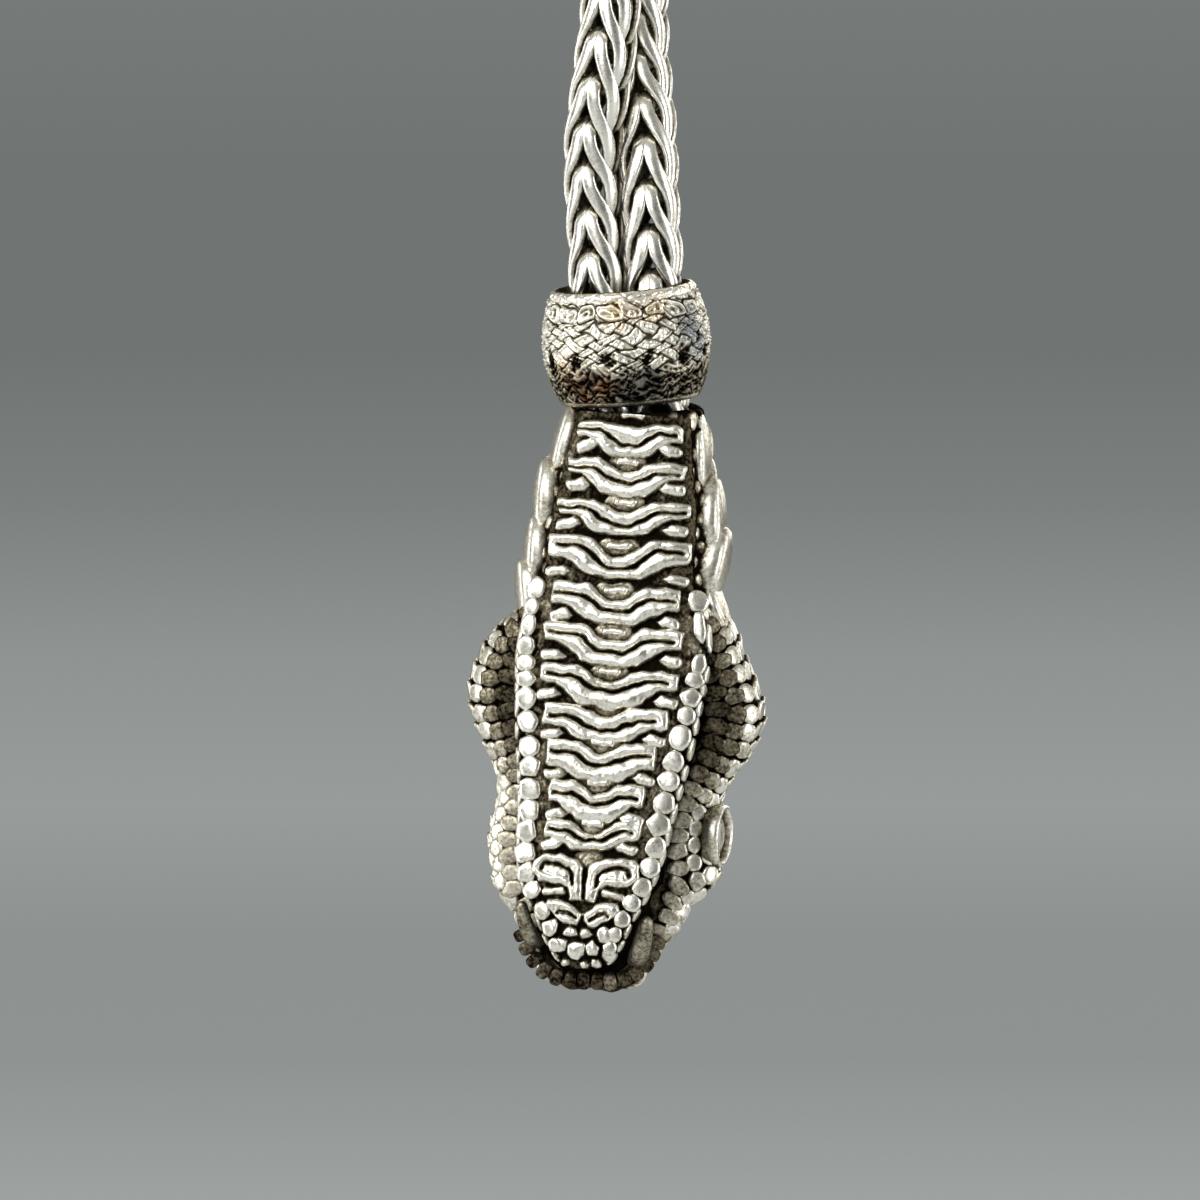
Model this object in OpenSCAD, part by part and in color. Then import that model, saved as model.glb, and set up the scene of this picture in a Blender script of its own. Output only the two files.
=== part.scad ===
// Snake head necklace: a cast head hung from two woven strands under a barrel bead.
// Millimetres, +Z up. The origin is under the clasp, where the necklace hangs on the neck.
// The chin side of the head faces -Y, and the snout points down.

/* [Loop] */
// Radius of the strands' centre line round the back of the neck
loop_r = 52; // [48:1:60]
// Angle of the straight sides from the vertical
side_angle = 30; // [24:1:34]
// Radius of the bend where the two sides come together
bend_r = 30; // [24:1:36]
// Drop from the nape to the front rim of the head's neck
drop = 196; // [190:1:204]
// How far the strands' lower ends drift to the right on their way into the neck
strand_drift = 0.6; // [0.4:0.05:0.7]
// Outer width of one woven strand
strand_d = 3.9; // [3.6:0.1:4]
// Gap between the two strands where they hang side by side
strand_gap = 0.08; // [0.06:0.01:0.2]
// How far the pair of strands has turned where the turn is largest
pair_turn = 45; // [0:5:45]

/* [Clasp] */
// Length of the plain barrel that joins the strands
clasp_l = 16; // [14:1:20]
// Outer diameter of that barrel
clasp_d = 5.8; // [5.4:0.1:6.4]

/* [Bead] */
// Largest diameter of the barrel bead
bead_d = 12; // [11.6:0.1:12.6]
// Height of the bead along its hole
bead_h = 8.2; // [7.8:0.1:8.6]
// Diameter of the bead's hole
bead_bore = 9; // [9:0.1:9.2]
// How far the bead's top tips towards the chin side
bead_tip = 7; // [0:1:7]
// How far the bead's right side is raised
bead_roll = 3.5; // [0:0.5:3.5]

/* [Head] */
// How far the snout swings to the left of straight down
head_lean = 4.2; // [3:0.2:5]
// How far the lower jaw swings past that
jaw_swing = 1.2; // [0:0.2:1.6]
// How far the top of the neck stands to the right of the nape
neck_shift = 0.8; // [0.7:0.05:0.9]
// Height that scales and plates stand above the casting
relief = 0.45; // [0.3:0.05:0.6]
// Diameter of the pin that carries the head
pin_d = 1.2; // [1:0.1:1.3]

/* [Hidden] */
silver = [0.78, 0.77, 0.74];
dark_silver = [0.55, 0.53, 0.5];

// Half the distance between the strands' centre lines, where they hang side by side
pair_x = (strand_d + strand_gap) / 2;
// The strands' ends, in the clasp and in the head
clasp_socket = 3;
strand_start_x = clasp_l / 2 - clasp_socket + 0.3;
arc_x = clasp_l / 2;
strand_depth = 6;
strand_end_z = -drop - strand_depth;
// The loop's turning points: the arc's centre, then the side's ends, then the end of the bend
arc_z = clasp_d / 2 - loop_r;
side_top = [arc_x + loop_r * cos(side_angle), arc_z - loop_r * sin(side_angle)];
side_end_x = pair_x + bend_r * (1 - cos(side_angle));
side_end_z = side_top[1] - (side_top[0] - side_end_x) / tan(side_angle);
bend_end_z = side_end_z - bend_r * sin(side_angle);
// The neck's rim rises to both sides, and further on the right
rim_rise = 0.65;
rim_slope = 0.12;
// The bead sits just above the rim's sides
bead_gap = 1.05;
bead_z = -drop + bead_gap + bead_h / 2;
// The stretch over which the pair of strands turns and turns back
turn_low_z = bead_z + bead_h / 2 + 3;
turn_length = 40;

strand_sides = 10;
side_rings = 8;
arc_rings = 13;
bend_rings = 5;
hang_rings = 9;

// Points of a closed ring of numbers from a to b, in n steps
function steps(a, b, n) = [for (i = [0:n]) a + (b - a) * i / n];

// The right strand's centre line in its own plane, [x, z], from the clasp to the head
arc_line = [for (a = steps(90, -side_angle, arc_rings)) [arc_x + loop_r * cos(a), arc_z + loop_r * sin(a)]];
side_line = [for (t = steps(0, 1, side_rings)) if (t > 0 && t < 1)
    side_top + t * ([side_end_x, side_end_z] - side_top)];
bend_line = [for (a = steps(180 - side_angle, 180, bend_rings))
    [pair_x + bend_r + bend_r * cos(a), bend_end_z + bend_r * sin(a)]];
hang_line = [for (t = steps(0, 1, hang_rings)) if (t > 0)
    [pair_x, bend_end_z + t * (strand_end_z - bend_end_z)]];
strand_line = concat([[strand_start_x, clasp_d / 2]], arc_line, side_line, bend_line, hang_line);

// How far the pair has turned about the vertical at height z
function turn_at(z) = z < turn_low_z || z > turn_low_z + turn_length ? 0
    : pair_turn * pow(sin(180 * (z - turn_low_z) / turn_length), 2);
// How far the pair has drifted to the right at height z
drift_top_z = -drop + 11;
drift_end_z = -drop - 1;
function smooth(t) = let (u = min(max(t, 0), 1)) u * u * (3 - 2 * u);
function drift_at(z) = strand_drift * smooth((z - drift_top_z) / (drift_end_z - drift_top_z));
function strand_point(p, side) = let (a = turn_at(p[1]))
    [side * p[0] * cos(a) + drift_at(p[1]), side * p[0] * sin(a), p[1]];

function unit(v) = v / norm(v);
function tangent(line, i) = unit(line[min(i + 1, len(line) - 1)] - line[max(i - 1, 0)]);
// One ring of a round tube, square to its line, with Y as the ring's first direction
function tube_ring(p, t, r, n) = let (v = unit(cross(t, [0, 1, 0])), u = cross(v, t))
    [for (k = [0:n - 1]) p + r * (cos(360 * k / n) * u + sin(360 * k / n) * v)];

// Closed skin over rings of n points each: quads between rings, and a cap on each end
function skin_faces(rings, n) = concat(
    [[for (k = [n - 1:-1:0]) k]],
    [for (i = [0:rings - 2], k = [0:n - 1]) let (low = i * n, high = low + n, next = (k + 1) % n)
        [low + k, low + next, high + next, high + k]],
    [[for (k = [0:n - 1]) (rings - 1) * n + k]]);
module skin(rings) {
    n = len(rings[0]);
    polyhedron([for (r = rings, p = r) p], skin_faces(len(rings), n));
}

// A woven strand as a plain round tube of its outer size, drilled for the pin at its lower end.
module strand(side) {
    line = [for (p = strand_line) strand_point(p, side)];
    rings = [for (i = [0:len(line) - 1]) tube_ring(line[i], tangent(line, i), strand_d / 2, strand_sides)];
    color(silver) difference() {
        skin(rings);
        translate([strand_drift, 0, pin_z]) rotate([0, 90, 0])
            cylinder(h = 2 * pin_half, r = pin_d / 2 + pin_gap, center = true, $fn = 48);
    }
}

// The plain barrel behind the neck, with a socket in each end for a strand.
module clasp() {
    edge = 0.5;
    socket_gap = 0.15;
    r = clasp_d / 2;
    half = clasp_l / 2;
    color(silver) translate([0, 0, r]) rotate([0, 90, 0]) difference() {
        rotate_extrude($fn = 64) polygon([[0, -half], [r - edge, -half], [r, -half + edge],
            [r, half - edge], [r - edge, half], [0, half]]);
        for (end = [-half, half]) translate([0, 0, end])
            cylinder(h = 2 * clasp_socket, r = strand_d / 2 + socket_gap, center = true, $fn = 64);
    }
}

// The bead: a barrel with part of an ellipse from its waist to each mouth, and a wider rim on top.
bead_waist = -0.2;
bead_curve = 62;
bead_steps = 8;
top_rim = 0.3;
low_rim = 0.18;
// Half of the wall, as [radius, height] from the waist to a mouth whose rim is this thick
function bead_wall(rim, reach) = let (bulge = (bead_d / 2 - bead_bore / 2 - rim) / (1 - cos(bead_curve)))
    [for (a = steps(0, bead_curve, bead_steps))
        [bead_d / 2 - bulge * (1 - cos(a)), bead_waist + reach * sin(a) / sin(bead_curve)]];
module bead() {
    top = bead_wall(top_rim, bead_h / 2 - bead_waist);
    low = bead_wall(low_rim, -bead_h / 2 - bead_waist);
    color(dark_silver) translate([drift_at(bead_z), 0, bead_z]) rotate([bead_tip, -bead_roll, 0])
        rotate_extrude($fn = 96) polygon(concat([for (k = [bead_steps:-1:0]) low[k]],
            [for (k = [1:bead_steps]) top[k]],
            [[bead_bore / 2, bead_h / 2], [bead_bore / 2, -bead_h / 2]]));
}

// The head's own frame: s runs down from the front rim of the neck, x to the right, y to the back.
// Each row is a section of the skull and neck.
// [s, half width, y of the lip or belly, y of the widest point, y of the crown]
skull_table = [
    [0, 4.7, -4.1, 0, 4.2],
    [4, 5.8, -4.4, 0, 4.8],
    [8, 6.3, -4.6, 0, 5.1],
    [12, 6.8, -4.7, 0, 5.5],
    [14, 7.7, -4.3, -0.1, 5.9],
    [16, 9.0, -4.0, -0.3, 6.3],
    [18, 10.1, -3.8, -0.4, 6.5],
    [20.2, 10.5, -3.7, -0.4, 6.5],
    [23.2, 9.7, -3.5, -0.6, 6.2],
    [25.6, 8.5, -3.3, -0.9, 5.8],
    [27.6, 8.0, -3.2, -1.0, 5.5],
    [30.4, 8.0, -3.2, -1.2, 5.0],
    [33, 7.3, -3.3, -1.4, 4.3],
    [35, 6.4, -3.4, -1.5, 3.7],
    [37, 5.5, -3.4, -1.7, 2.9],
    [39.2, 4.2, -3.3, -1.9, 1.8],
    [40.4, 2.9, -3.1, -2.0, 0.9],
    [41, 1.3, -2.8, -2.0, 0.2]];
// Each row is a section of the belly strip and the lower jaw, which is one bar down the front.
// [s, half width, y of the chin side, y of the mouth side]
jaw_table = [
    [0, 4.2, -4.7, -2.6],
    [8, 5.4, -5.2, -2.6],
    [13.2, 6.5, -5.6, -2.7],
    [16.8, 6.6, -6.0, -3.3],
    [20.4, 6.35, -6.4, -4.1],
    [23.2, 6.05, -6.8, -4.5],
    [26.1, 5.6, -7.2, -4.9],
    [28.9, 5.2, -7.6, -5.2],
    [31.1, 4.95, -7.8, -5.4],
    [33.2, 4.5, -8.0, -5.6],
    [34.6, 3.9, -8.1, -5.7],
    [36.1, 3.1, -8.2, -5.9],
    [37.5, 2.5, -8.2, -6.0],
    [38.6, 1.8, -8.1, -6.1],
    [39.5, 0.9, -7.8, -6.4]];
// Each row is a section of the mouth, which is cut out of the skull.
// [s, half width, y of the palate]
mouth_table = [
    [17, 3.0, -3.6],
    [20, 6.9, -2.3],
    [24, 6.5, -1.9],
    [29, 5.9, -1.8],
    [34, 5.2, -1.9],
    [37, 4.2, -2.1],
    [39, 2.6, -2.4],
    [40, 1.2, -2.7]];

function column(table, c) = [for (row = table) [row[0], row[c]]];
function at(table, c, s) = lookup(s, column(table, c));
// A power that keeps the sign, for sections between an ellipse and a rounded box
function spow(v, p) = sign(v) * pow(abs(v), p);

// A point of the skull at angle a round the section: -90 is the chin side, 0 the right and 90 the crown
function skull_point(a, s) = let (w = at(skull_table, 1, s), mid = at(skull_table, 3, s),
        reach = sin(a) < 0 ? mid - at(skull_table, 2, s) : at(skull_table, 4, s) - mid)
    [w * spow(cos(a), sin(a) < 0 ? 0.7 : 0.85), mid + reach * spow(sin(a), sin(a) < 0 ? 0.8 : 0.9), -s];
// The middle line of the belly strip and jaw, and a point of them in the same way, with a flatter face
function jaw_middle(s) = -s * tan(jaw_swing);
function jaw_point(a, s) = let (w = at(jaw_table, 1, s), front = at(jaw_table, 2, s),
        mid = (front + at(jaw_table, 3, s)) / 2)
    [jaw_middle(s) + w * spow(cos(a), 0.5), mid + (mid - front) * spow(sin(a), 0.65), -s];
function skull_normal(a, s) = unit(cross(skull_point(a, s + 0.3) - skull_point(a, s - 0.3),
    skull_point(a + 2, s) - skull_point(a - 2, s)));
function jaw_normal(a, s) = unit(cross(jaw_point(a, s + 0.3) - jaw_point(a, s - 0.3),
    jaw_point(a + 2, s) - jaw_point(a - 2, s)));

module skull() {
    skin([for (row = skull_table) [for (k = [0:19]) let (p = skull_point(18 * k, row[0]))
        row[0] > 0 ? p : p + [0, 0, rim_rise * pow(p[0] / row[1], 2) + rim_slope * p[0]]]]);
}
module jaw() {
    skin([for (row = jaw_table) [for (k = [0:15]) jaw_point(22.5 * k, row[0])]]);
}
module mouth() {
    skin([for (row = mouth_table) let (w = row[1], roof = row[2], floor = -7)
        [[w, floor, -row[0]], [w, roof - 0.9, -row[0]], [w * 0.75, roof, -row[0]],
        [-w * 0.75, roof, -row[0]], [-w, roof - 0.9, -row[0]], [-w, floor, -row[0]]]]);
}

// Puts a relief piece on a surface: its Z along the normal n, and its Y up the head
module on_surface(p, n) {
    side = unit(cross([0, 0, 1], n));
    up = cross(n, side);
    multmatrix([[side[0], up[0], n[0], p[0]], [side[1], up[1], n[1], p[1]], [side[2], up[2], n[2], p[2]]])
        children();
}
// A pebble scale: a low six-sided block with sloping sides, width by length, rooted below the surface
module pebble(width, length) {
    root = 0.8;
    scale([width / 2, length / 2, relief]) translate([0, 0, -root])
        cylinder(h = 1 + root, r1 = 1.2, r2 = 0.7, $fn = 6);
}
// A long scale with a blunt point at its raised lower end, lapped over the next one
module lapped_scale(width, length) {
    hull() {
        translate([0, -0.22 * length, 0]) rotate(30)
            cylinder(h = 1.8 * relief, r1 = 0.55 * width, r2 = 0.35 * width, $fn = 6);
        translate([0, 0.35 * length, -relief]) cylinder(h = relief, r = 0.4 * width, $fn = 6);
    }
}

// Puts a relief piece on the chin side, x from its middle line and s down the head
module on_chin(x, s) {
    on_surface([jaw_middle(s) + x, at(jaw_table, 2, s) + 0.1, -s], [0, -1, 0]) children();
}

// The belly plates: each row is one plate. [s of its middle, half width]
plate_table = [
    [1.7, 3.3], [4.5, 4.3], [7.4, 4.6], [10.2, 4.8], [13.2, 4.7], [16, 4.8],
    [18.9, 4.8], [21.5, 4.5], [24.6, 4.0], [27.4, 3.5], [29.9, 3.4]];
// The plate's height at its ends and in the middle, and the middle's dip below the ends
plate_end_h = 1.4;
plate_mid_h = 2;
plate_dip = 1.2;
plate_stations = [-1, -0.62, -0.2, 0.2, 0.62, 1];
// How much of the middle's form the plate has at p, from -1 at one end to 1 at the other
function plate_middle(p) = 1 - smooth((abs(p) - 0.2) / 0.42);
// Across the plate, from its lower edge: [share of the half height, share of the relief]
plate_root = -1;
plate_profile = [[-1, plate_root], [-0.85, 0.8], [-0.45, 1], [0, 0.2],
    [0.45, 1], [0.85, 0.8], [1, plate_root]];
module plate(s_mid, half) {
    face = at(jaw_table, 2, s_mid);
    skin([for (p = plate_stations) let (h = (plate_end_h + (plate_mid_h - plate_end_h) * plate_middle(p)) / 2,
            z = -s_mid + plate_dip * (0.55 - plate_middle(p)))
        [for (point = plate_profile) let (rise = abs(p) == 1 && point[1] > 0 ? 1 : point[1])
            [jaw_middle(s_mid) + p * half, face - relief * rise, z + h * point[0]]]]);
}
// Each plate has a small oval over its dip and a leaf under each end.
// [x from the plate's middle or end, s from its middle, width, length]
plate_oval = [0, -0.85, 1.7, 0.6];
plate_leaf = [-0.7, 0.75, 1.3, 0.75];
module belly_plates() {
    for (row = plate_table) {
        plate(row[0], row[1]);
        on_chin(plate_oval[0], row[0] + plate_oval[1]) pebble(plate_oval[2], plate_oval[3]);
        for (side = [-1, 1]) on_chin(side * (row[1] + plate_leaf[0]), row[0] + plate_leaf[1])
            pebble(plate_leaf[2], plate_leaf[3]);
    }
}
// The chin shields, each row an outline point of the right one. [x, s]
upper_shield = [[0.85, 32.5], [1.6, 32.1], [3.1, 32], [3.2, 32.7], [1.4, 33.1]];
shield_foot = [[0.8, 32.8], [0.75, 34.2]];
lower_shield = [[0.5, 35.5], [2.1, 35.1], [0.9, 36.1]];
shield_edge = 0.9;
module shield(outline, side) {
    hull() for (p = outline) on_chin(side * p[0], p[1]) pebble(shield_edge, shield_edge);
}
// The small scales of the chin's tip, then the pair beside the shields' feet. [x, s, width, length]
chin_table = [[-0.5, 37.6, 1.2, 1.2], [-1.6, 37.1, 1, 1], [1.2, 37, 1, 1], [0.6, 37.8, 0.9, 0.9],
    [-1, 38.4, 0.8, 0.8], [0.2, 38.7, 0.8, 0.8], [-2.1, 34.1, 1.7, 0.7], [2.1, 34.1, 1.7, 0.7]];
module chin_scales() {
    for (side = [-1, 1]) {
        shield(upper_shield, side);
        shield(shield_foot, side);
        shield(lower_shield, side);
    }
    for (row = chin_table) on_chin(row[0], row[1]) pebble(row[2], row[3]);
}
// The rows of round scales along both edges of the lower jaw
jaw_scale_pitch = 1.5;
jaw_scale_s = 12.4;
jaw_scale_count = 16;
jaw_scale_size = 1.4;
jaw_scale_angle = 52;
module jaw_scales() {
    for (i = [0:jaw_scale_count - 1], side = [-1, 1]) {
        s = jaw_scale_s + i * jaw_scale_pitch;
        a = -90 + side * jaw_scale_angle;
        on_surface(jaw_point(a, s), jaw_normal(a, s)) pebble(jaw_scale_size, jaw_scale_size);
    }
}
// The lip scales of the upper jaw, and the row outside them. [angle, width, length, pitch]
lip_first_s = 15.5;
lip_last_s = 39.4;
lip_table = [[-46, 1.7, 1.3, 1.5], [-24, 1.7, 2, 2.3]];
module lip_scales() {
    for (row = lip_table, s = [lip_first_s:row[3]:lip_last_s], side = [-1, 1]) {
        a = -90 + side * (90 + row[0]);
        on_surface(skull_point(a, s), skull_normal(a, s)) pebble(row[1], row[2]);
    }
}
// The lapped scales of the neck, in rows round its sides and back, each row half a step on from the last
neck_rows = 7;
neck_pitch = 1.9;
neck_first_s = 2.9;
neck_edge_angle = -22;
neck_turn = (180 - 2 * neck_edge_angle) / 3;
neck_scale_w = 3.4;
neck_scale_l = 4.2;
module neck_scales() {
    for (row = [0:neck_rows - 1], k = [0:3 - row % 2]) {
        s = neck_first_s + row * neck_pitch;
        a = neck_edge_angle + (k + (row % 2) / 2) * neck_turn;
        on_surface(skull_point(a, s), skull_normal(a, s)) lapped_scale(neck_scale_w, neck_scale_l);
    }
}
// The crown's scales, smaller towards the snout
crown_rows = 7;
crown_pitch = 3.3;
crown_first_s = 16;
crown_turn = 30;
module crown_scales() {
    for (row = [0:crown_rows - 1], k = [1:5 - row % 2]) {
        s = crown_first_s + row * crown_pitch;
        a = (k + (row % 2) / 2) * crown_turn;
        on_surface(skull_point(a, s), skull_normal(a, s))
            pebble(0.42 * at(skull_table, 1, s), 0.9 * crown_pitch);
    }
}
// The eyes: a round ball in a raised ring, on the sides of the crown
eye_s = 29.4;
eye_d = 3.2;
eye_angle = 22;
eye_ring = 0.42;
module eyes() {
    for (a = [eye_angle, 180 - eye_angle]) on_surface(skull_point(a, eye_s), skull_normal(a, eye_s)) {
        scale([1, 1, 0.62]) sphere(eye_d / 2, $fn = 12);
        rotate_extrude($fn = 12) translate([eye_d / 2 + eye_ring / 3, eye_ring / 4])
            circle(eye_ring, $fn = 6);
    }
}
// The two fangs, from the edge of the palate back towards the throat, past the sides of the jaw
fang_d = 1.2;
fang_root = [3.8, -2.4, -38.6];
fang_tip = [4.5, -6.2, -36];
module fangs() {
    for (turn = [0, 1]) mirror([turn, 0, 0]) hull() {
        translate(fang_root) sphere(0.5 * fang_d, $fn = 10);
        translate(fang_tip) sphere(0.4 * fang_d, $fn = 10);
    }
}

// The head casting, with the open mouth cut in it, a socket for both strands and a seat for the pin.
socket_r = strand_d / 2 + 0.3;
socket_depth = strand_depth + 0.6;
pin_z = -drop - 3.2;
pin_half = 4.75;
pin_gap = 0.1;
module snake_head() {
    color(silver) difference() {
        translate([neck_shift, 0, -drop]) rotate([0, head_lean, 0]) union() {
            difference() {
                skull();
                mouth();
            }
            jaw();
            belly_plates();
            chin_scales();
            jaw_scales();
            lip_scales();
            neck_scales();
            crown_scales();
            eyes();
            fangs();
        }
        hull() for (x = [-pair_x, pair_x]) translate([strand_drift + x, 0, -drop - socket_depth])
            cylinder(h = socket_depth + 3, r = socket_r, $fn = 24);
        translate([strand_drift, 0, pin_z]) rotate([0, 90, 0])
            cylinder(h = 2 * (pin_half + pin_gap), r = pin_d / 2 + pin_gap, center = true, $fn = 16);
    }
}
// The plain pin across the neck, through both strands' ends.
module cross_pin() {
    color(silver) translate([strand_drift, 0, pin_z]) rotate([0, 90, 0])
        cylinder(h = 2 * pin_half, r = pin_d / 2, center = true, $fn = 48);
}

strand(-1);  // strand_left
strand(1);  // strand_right
clasp();
bead();
cross_pin();
snake_head();
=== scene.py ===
"""Snake head necklace: two woven silver strands, a barrel bead on them, and a cast snake head that
hangs snout down with its chin side towards the front. Sizes are in millimetres until a mesh is made."""
import math

import bpy
import numpy as np
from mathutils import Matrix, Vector


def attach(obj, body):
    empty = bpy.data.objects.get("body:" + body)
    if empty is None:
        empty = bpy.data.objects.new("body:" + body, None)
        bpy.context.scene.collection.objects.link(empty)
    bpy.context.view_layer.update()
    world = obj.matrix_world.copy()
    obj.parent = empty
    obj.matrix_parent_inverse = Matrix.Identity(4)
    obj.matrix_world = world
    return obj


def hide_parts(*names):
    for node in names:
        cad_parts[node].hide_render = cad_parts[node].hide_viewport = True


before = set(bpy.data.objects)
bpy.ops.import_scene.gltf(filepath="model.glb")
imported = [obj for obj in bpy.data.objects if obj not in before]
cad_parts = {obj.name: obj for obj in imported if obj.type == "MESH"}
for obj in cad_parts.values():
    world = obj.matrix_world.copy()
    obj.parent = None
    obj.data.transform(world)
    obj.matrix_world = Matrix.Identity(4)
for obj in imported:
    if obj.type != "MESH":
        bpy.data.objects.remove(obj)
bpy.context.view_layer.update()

# Woven strands
# Two foxtail chains of drawn sterling wire, oxidised and rubbed bright. Each link is a closed loop,
# pinched at its top, whose two ears hang down in front and behind and hold the next two links.
# The finished strand is pulled through a draw plate, which presses the outside of the wire flat.
MM = 0.001
LOOP_R, SIDE_ANGLE, BEND_R = 52.0, 30.0, 30.0
DROP = 196.0
CLASP_R, CLASP_HALF = 2.9, 8.0
PAIR_X = 1.99
STRAND_START_X, STRAND_END_Z = 5.3, -202.0
TURN_LOW_Z, TURN_LENGTH, PAIR_TURN = -183.75, 40.0, 45.0
DRIFT, DRIFT_TOP_Z, DRIFT_END_Z = 0.6, -185.0, -197.0
# Above the bead the two strands wind closer and lean the way that the tipped bead slides, which keeps
# them clear of its bore. Each starts and ends softly. [lower z, rise above it, upper z, fall below it]
CLOSE_TURN, CLOSE_SPAN = 24.0, [-180.0, 10.0, -156.0, 9.0]
LEAN, LEAN_SPAN = 0.3, [-186.0, 8.0, -164.0, 9.0]
TOUCH_Z, TOUCH_RISE = -171.0, 15.0
LINE_STEP, SWAY_TURN, SWAY_LENGTH = 0.25, 6.0, 21.0
LINK_PITCH, LINK_LONG, LINK_POINTS = 3.18, 7.08, 14
WIRE_WIDE, WIRE_THICK, WIRE_SIDES, WIRE_FLATTENED = 1.0, 0.58, 12, 0.6
# A quarter of a link, from the middle of its lower arch up to its pinched top. [across, down, outwards]
LINK_QUARTER = [
    [0.0, LINK_LONG, 0.80], [0.80, 7.0, 0.80], [1.38, 6.5, 0.80], [1.64, 5.6, 0.84], [1.68, 4.7, 0.95],
    [1.52, 3.8, 1.16], [1.17, 3.0, 1.42], [0.76, 2.2, 1.60], [0.44, 1.3, 1.68], [0.36, 0.5, 1.58],
    [0.35, 0.08, 1.08], [0.34, 0.0, 0.5], [0.34, 0.0, 0.0]]
# [name, side, how far above the lower end its first link is pinched, turn about its own line, sway's start]
STRANDS = [("left", -1, 20.8, -15.0, 1.0), ("right", 1, 22.4, -9.0, 2.6)]


def smooth(t):
    t = np.clip(t, 0.0, 1.0)
    return t * t * (3 - 2 * t)


def between(z, low, rise, top, fall):
    """1 between two heights, and 0 outside them."""
    return smooth((z - low) / rise) * smooth((top - z) / fall)


def strand_centre_line(side):
    """Points along one strand's centre line, from the clasp down into the head."""
    slope = math.radians(SIDE_ANGLE)
    cos, sin = math.cos(slope), math.sin(slope)
    arc_z = CLASP_R - LOOP_R
    top_x, top_z = CLASP_HALF + LOOP_R * cos, arc_z - LOOP_R * sin
    low_x = PAIR_X + BEND_R * (1 - cos)
    low_z = top_z - (top_x - low_x) * cos / sin
    bend_z = low_z - BEND_R * sin
    points = [(STRAND_START_X, CLASP_R)]
    points += [(CLASP_HALF + LOOP_R * math.cos(a), arc_z + LOOP_R * math.sin(a))
               for a in np.linspace(math.pi / 2, -slope, 160)]
    points += [(top_x + t * (low_x - top_x), top_z + t * (low_z - top_z))
               for t in np.linspace(0.02, 0.98, 40)]
    points += [(PAIR_X + BEND_R * (1 + math.cos(a)), bend_z + BEND_R * math.sin(a))
               for a in np.linspace(math.pi - slope, math.pi, 24)]
    points += [(PAIR_X, z) for z in np.linspace(bend_z - 0.5, STRAND_END_Z, 60)]
    x, z = np.array(points).T
    # Wound round each other above the bead, the two stay in touch a little higher than they would hang
    x = np.where(z < -140, PAIR_X + (x - PAIR_X) * smooth((z - TOUCH_Z) / TOUCH_RISE), x)
    inside = (z > TURN_LOW_Z) & (z < TURN_LOW_Z + TURN_LENGTH)
    turn = np.where(inside, PAIR_TURN * np.sin(np.pi * (z - TURN_LOW_Z) / TURN_LENGTH) ** 2, 0)
    turn = np.radians(turn + CLOSE_TURN * between(z, *CLOSE_SPAN))
    drift = DRIFT * smooth((z - DRIFT_TOP_Z) / (DRIFT_END_Z - DRIFT_TOP_Z))
    lean = LEAN * between(z, *LEAN_SPAN)
    return np.stack([side * x * np.cos(turn) + drift - lean, side * PAIR_X * np.sin(turn) - lean, z], 1)


def bent(v, power):
    return np.sign(v) * np.abs(v) ** power


def unit(v):
    return v / np.maximum(np.linalg.norm(v, axis=-1, keepdims=True), 1e-12)


def distances(points):
    """How far along a line each of its points lies."""
    return np.concatenate([[0], np.cumsum(np.linalg.norm(np.diff(points, axis=0), axis=1))])


def evenly(points, count):
    """This many equally spaced places on a line of points."""
    length = distances(points)
    spots = np.linspace(0, length[-1], count)
    return np.stack([np.interp(spots, length, column) for column in points.T], -1)


def even_points(points, count):
    """A smooth curve through the given points, cut into equal lengths."""
    points = np.asarray(points, float)
    ends = np.concatenate([[2 * points[0] - points[1]], points, [2 * points[-1] - points[-2]]])
    t = np.linspace(0, 1, 12, endpoint=False)[:, None]
    curve = [0.5 * (2 * b + (c - a) * t + (2 * a - 5 * b + 4 * c - d) * t ** 2
                    + (3 * b - a - 3 * c + d) * t ** 3)
             for a, b, c, d in zip(ends, ends[1:], ends[2:], ends[3:])]
    return evenly(np.concatenate(curve + [points[-1:]]), count)


def full_turn(count):
    """This many equally spaced angles of a full turn."""
    return np.linspace(0, 2 * np.pi, count, endpoint=False)


def circle(count, side, up):
    """Steps of length 1 from a circle's middle to this many points on it."""
    turn = full_turn(count)[:, None]
    return np.cos(turn) * side + np.sin(turn) * up


def placed(name, data):
    """A new object in the scene."""
    made = bpy.data.objects.new(name, data)
    bpy.context.scene.collection.objects.link(made)
    return made


def mesh_piece(name, points, faces, material, marks=None):
    """A smooth mesh object from points in millimetres, with one number a point under each mark's name."""
    mesh = bpy.data.meshes.new(name)
    mesh.from_pydata((np.asarray(points).reshape(-1, 3) * MM).tolist(), [], [list(f) for f in faces])
    mesh.polygons.foreach_set("use_smooth", np.ones(len(mesh.polygons), bool))
    for mark, values in (marks or {}).items():
        values = np.ravel(values).astype(np.float32)
        mesh.attributes.new(mark, "FLOAT", "POINT").data.foreach_set("value", values)
    mesh.materials.append(material)
    mesh.update()
    return placed(name, mesh)


def grid_faces(rows, columns, closed_rows=False, start=0):
    """Quads of a grid of points whose columns close round."""
    down = np.arange(rows if closed_rows else rows - 1)[:, None]
    across = np.arange(columns)[None, :]
    low, high = down * columns, ((down + 1) % rows) * columns
    right = (across + 1) % columns
    quads = np.stack([low + across, low + right, high + right, high + across], -1)
    return (quads.reshape(-1, 4) + start).tolist()


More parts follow.
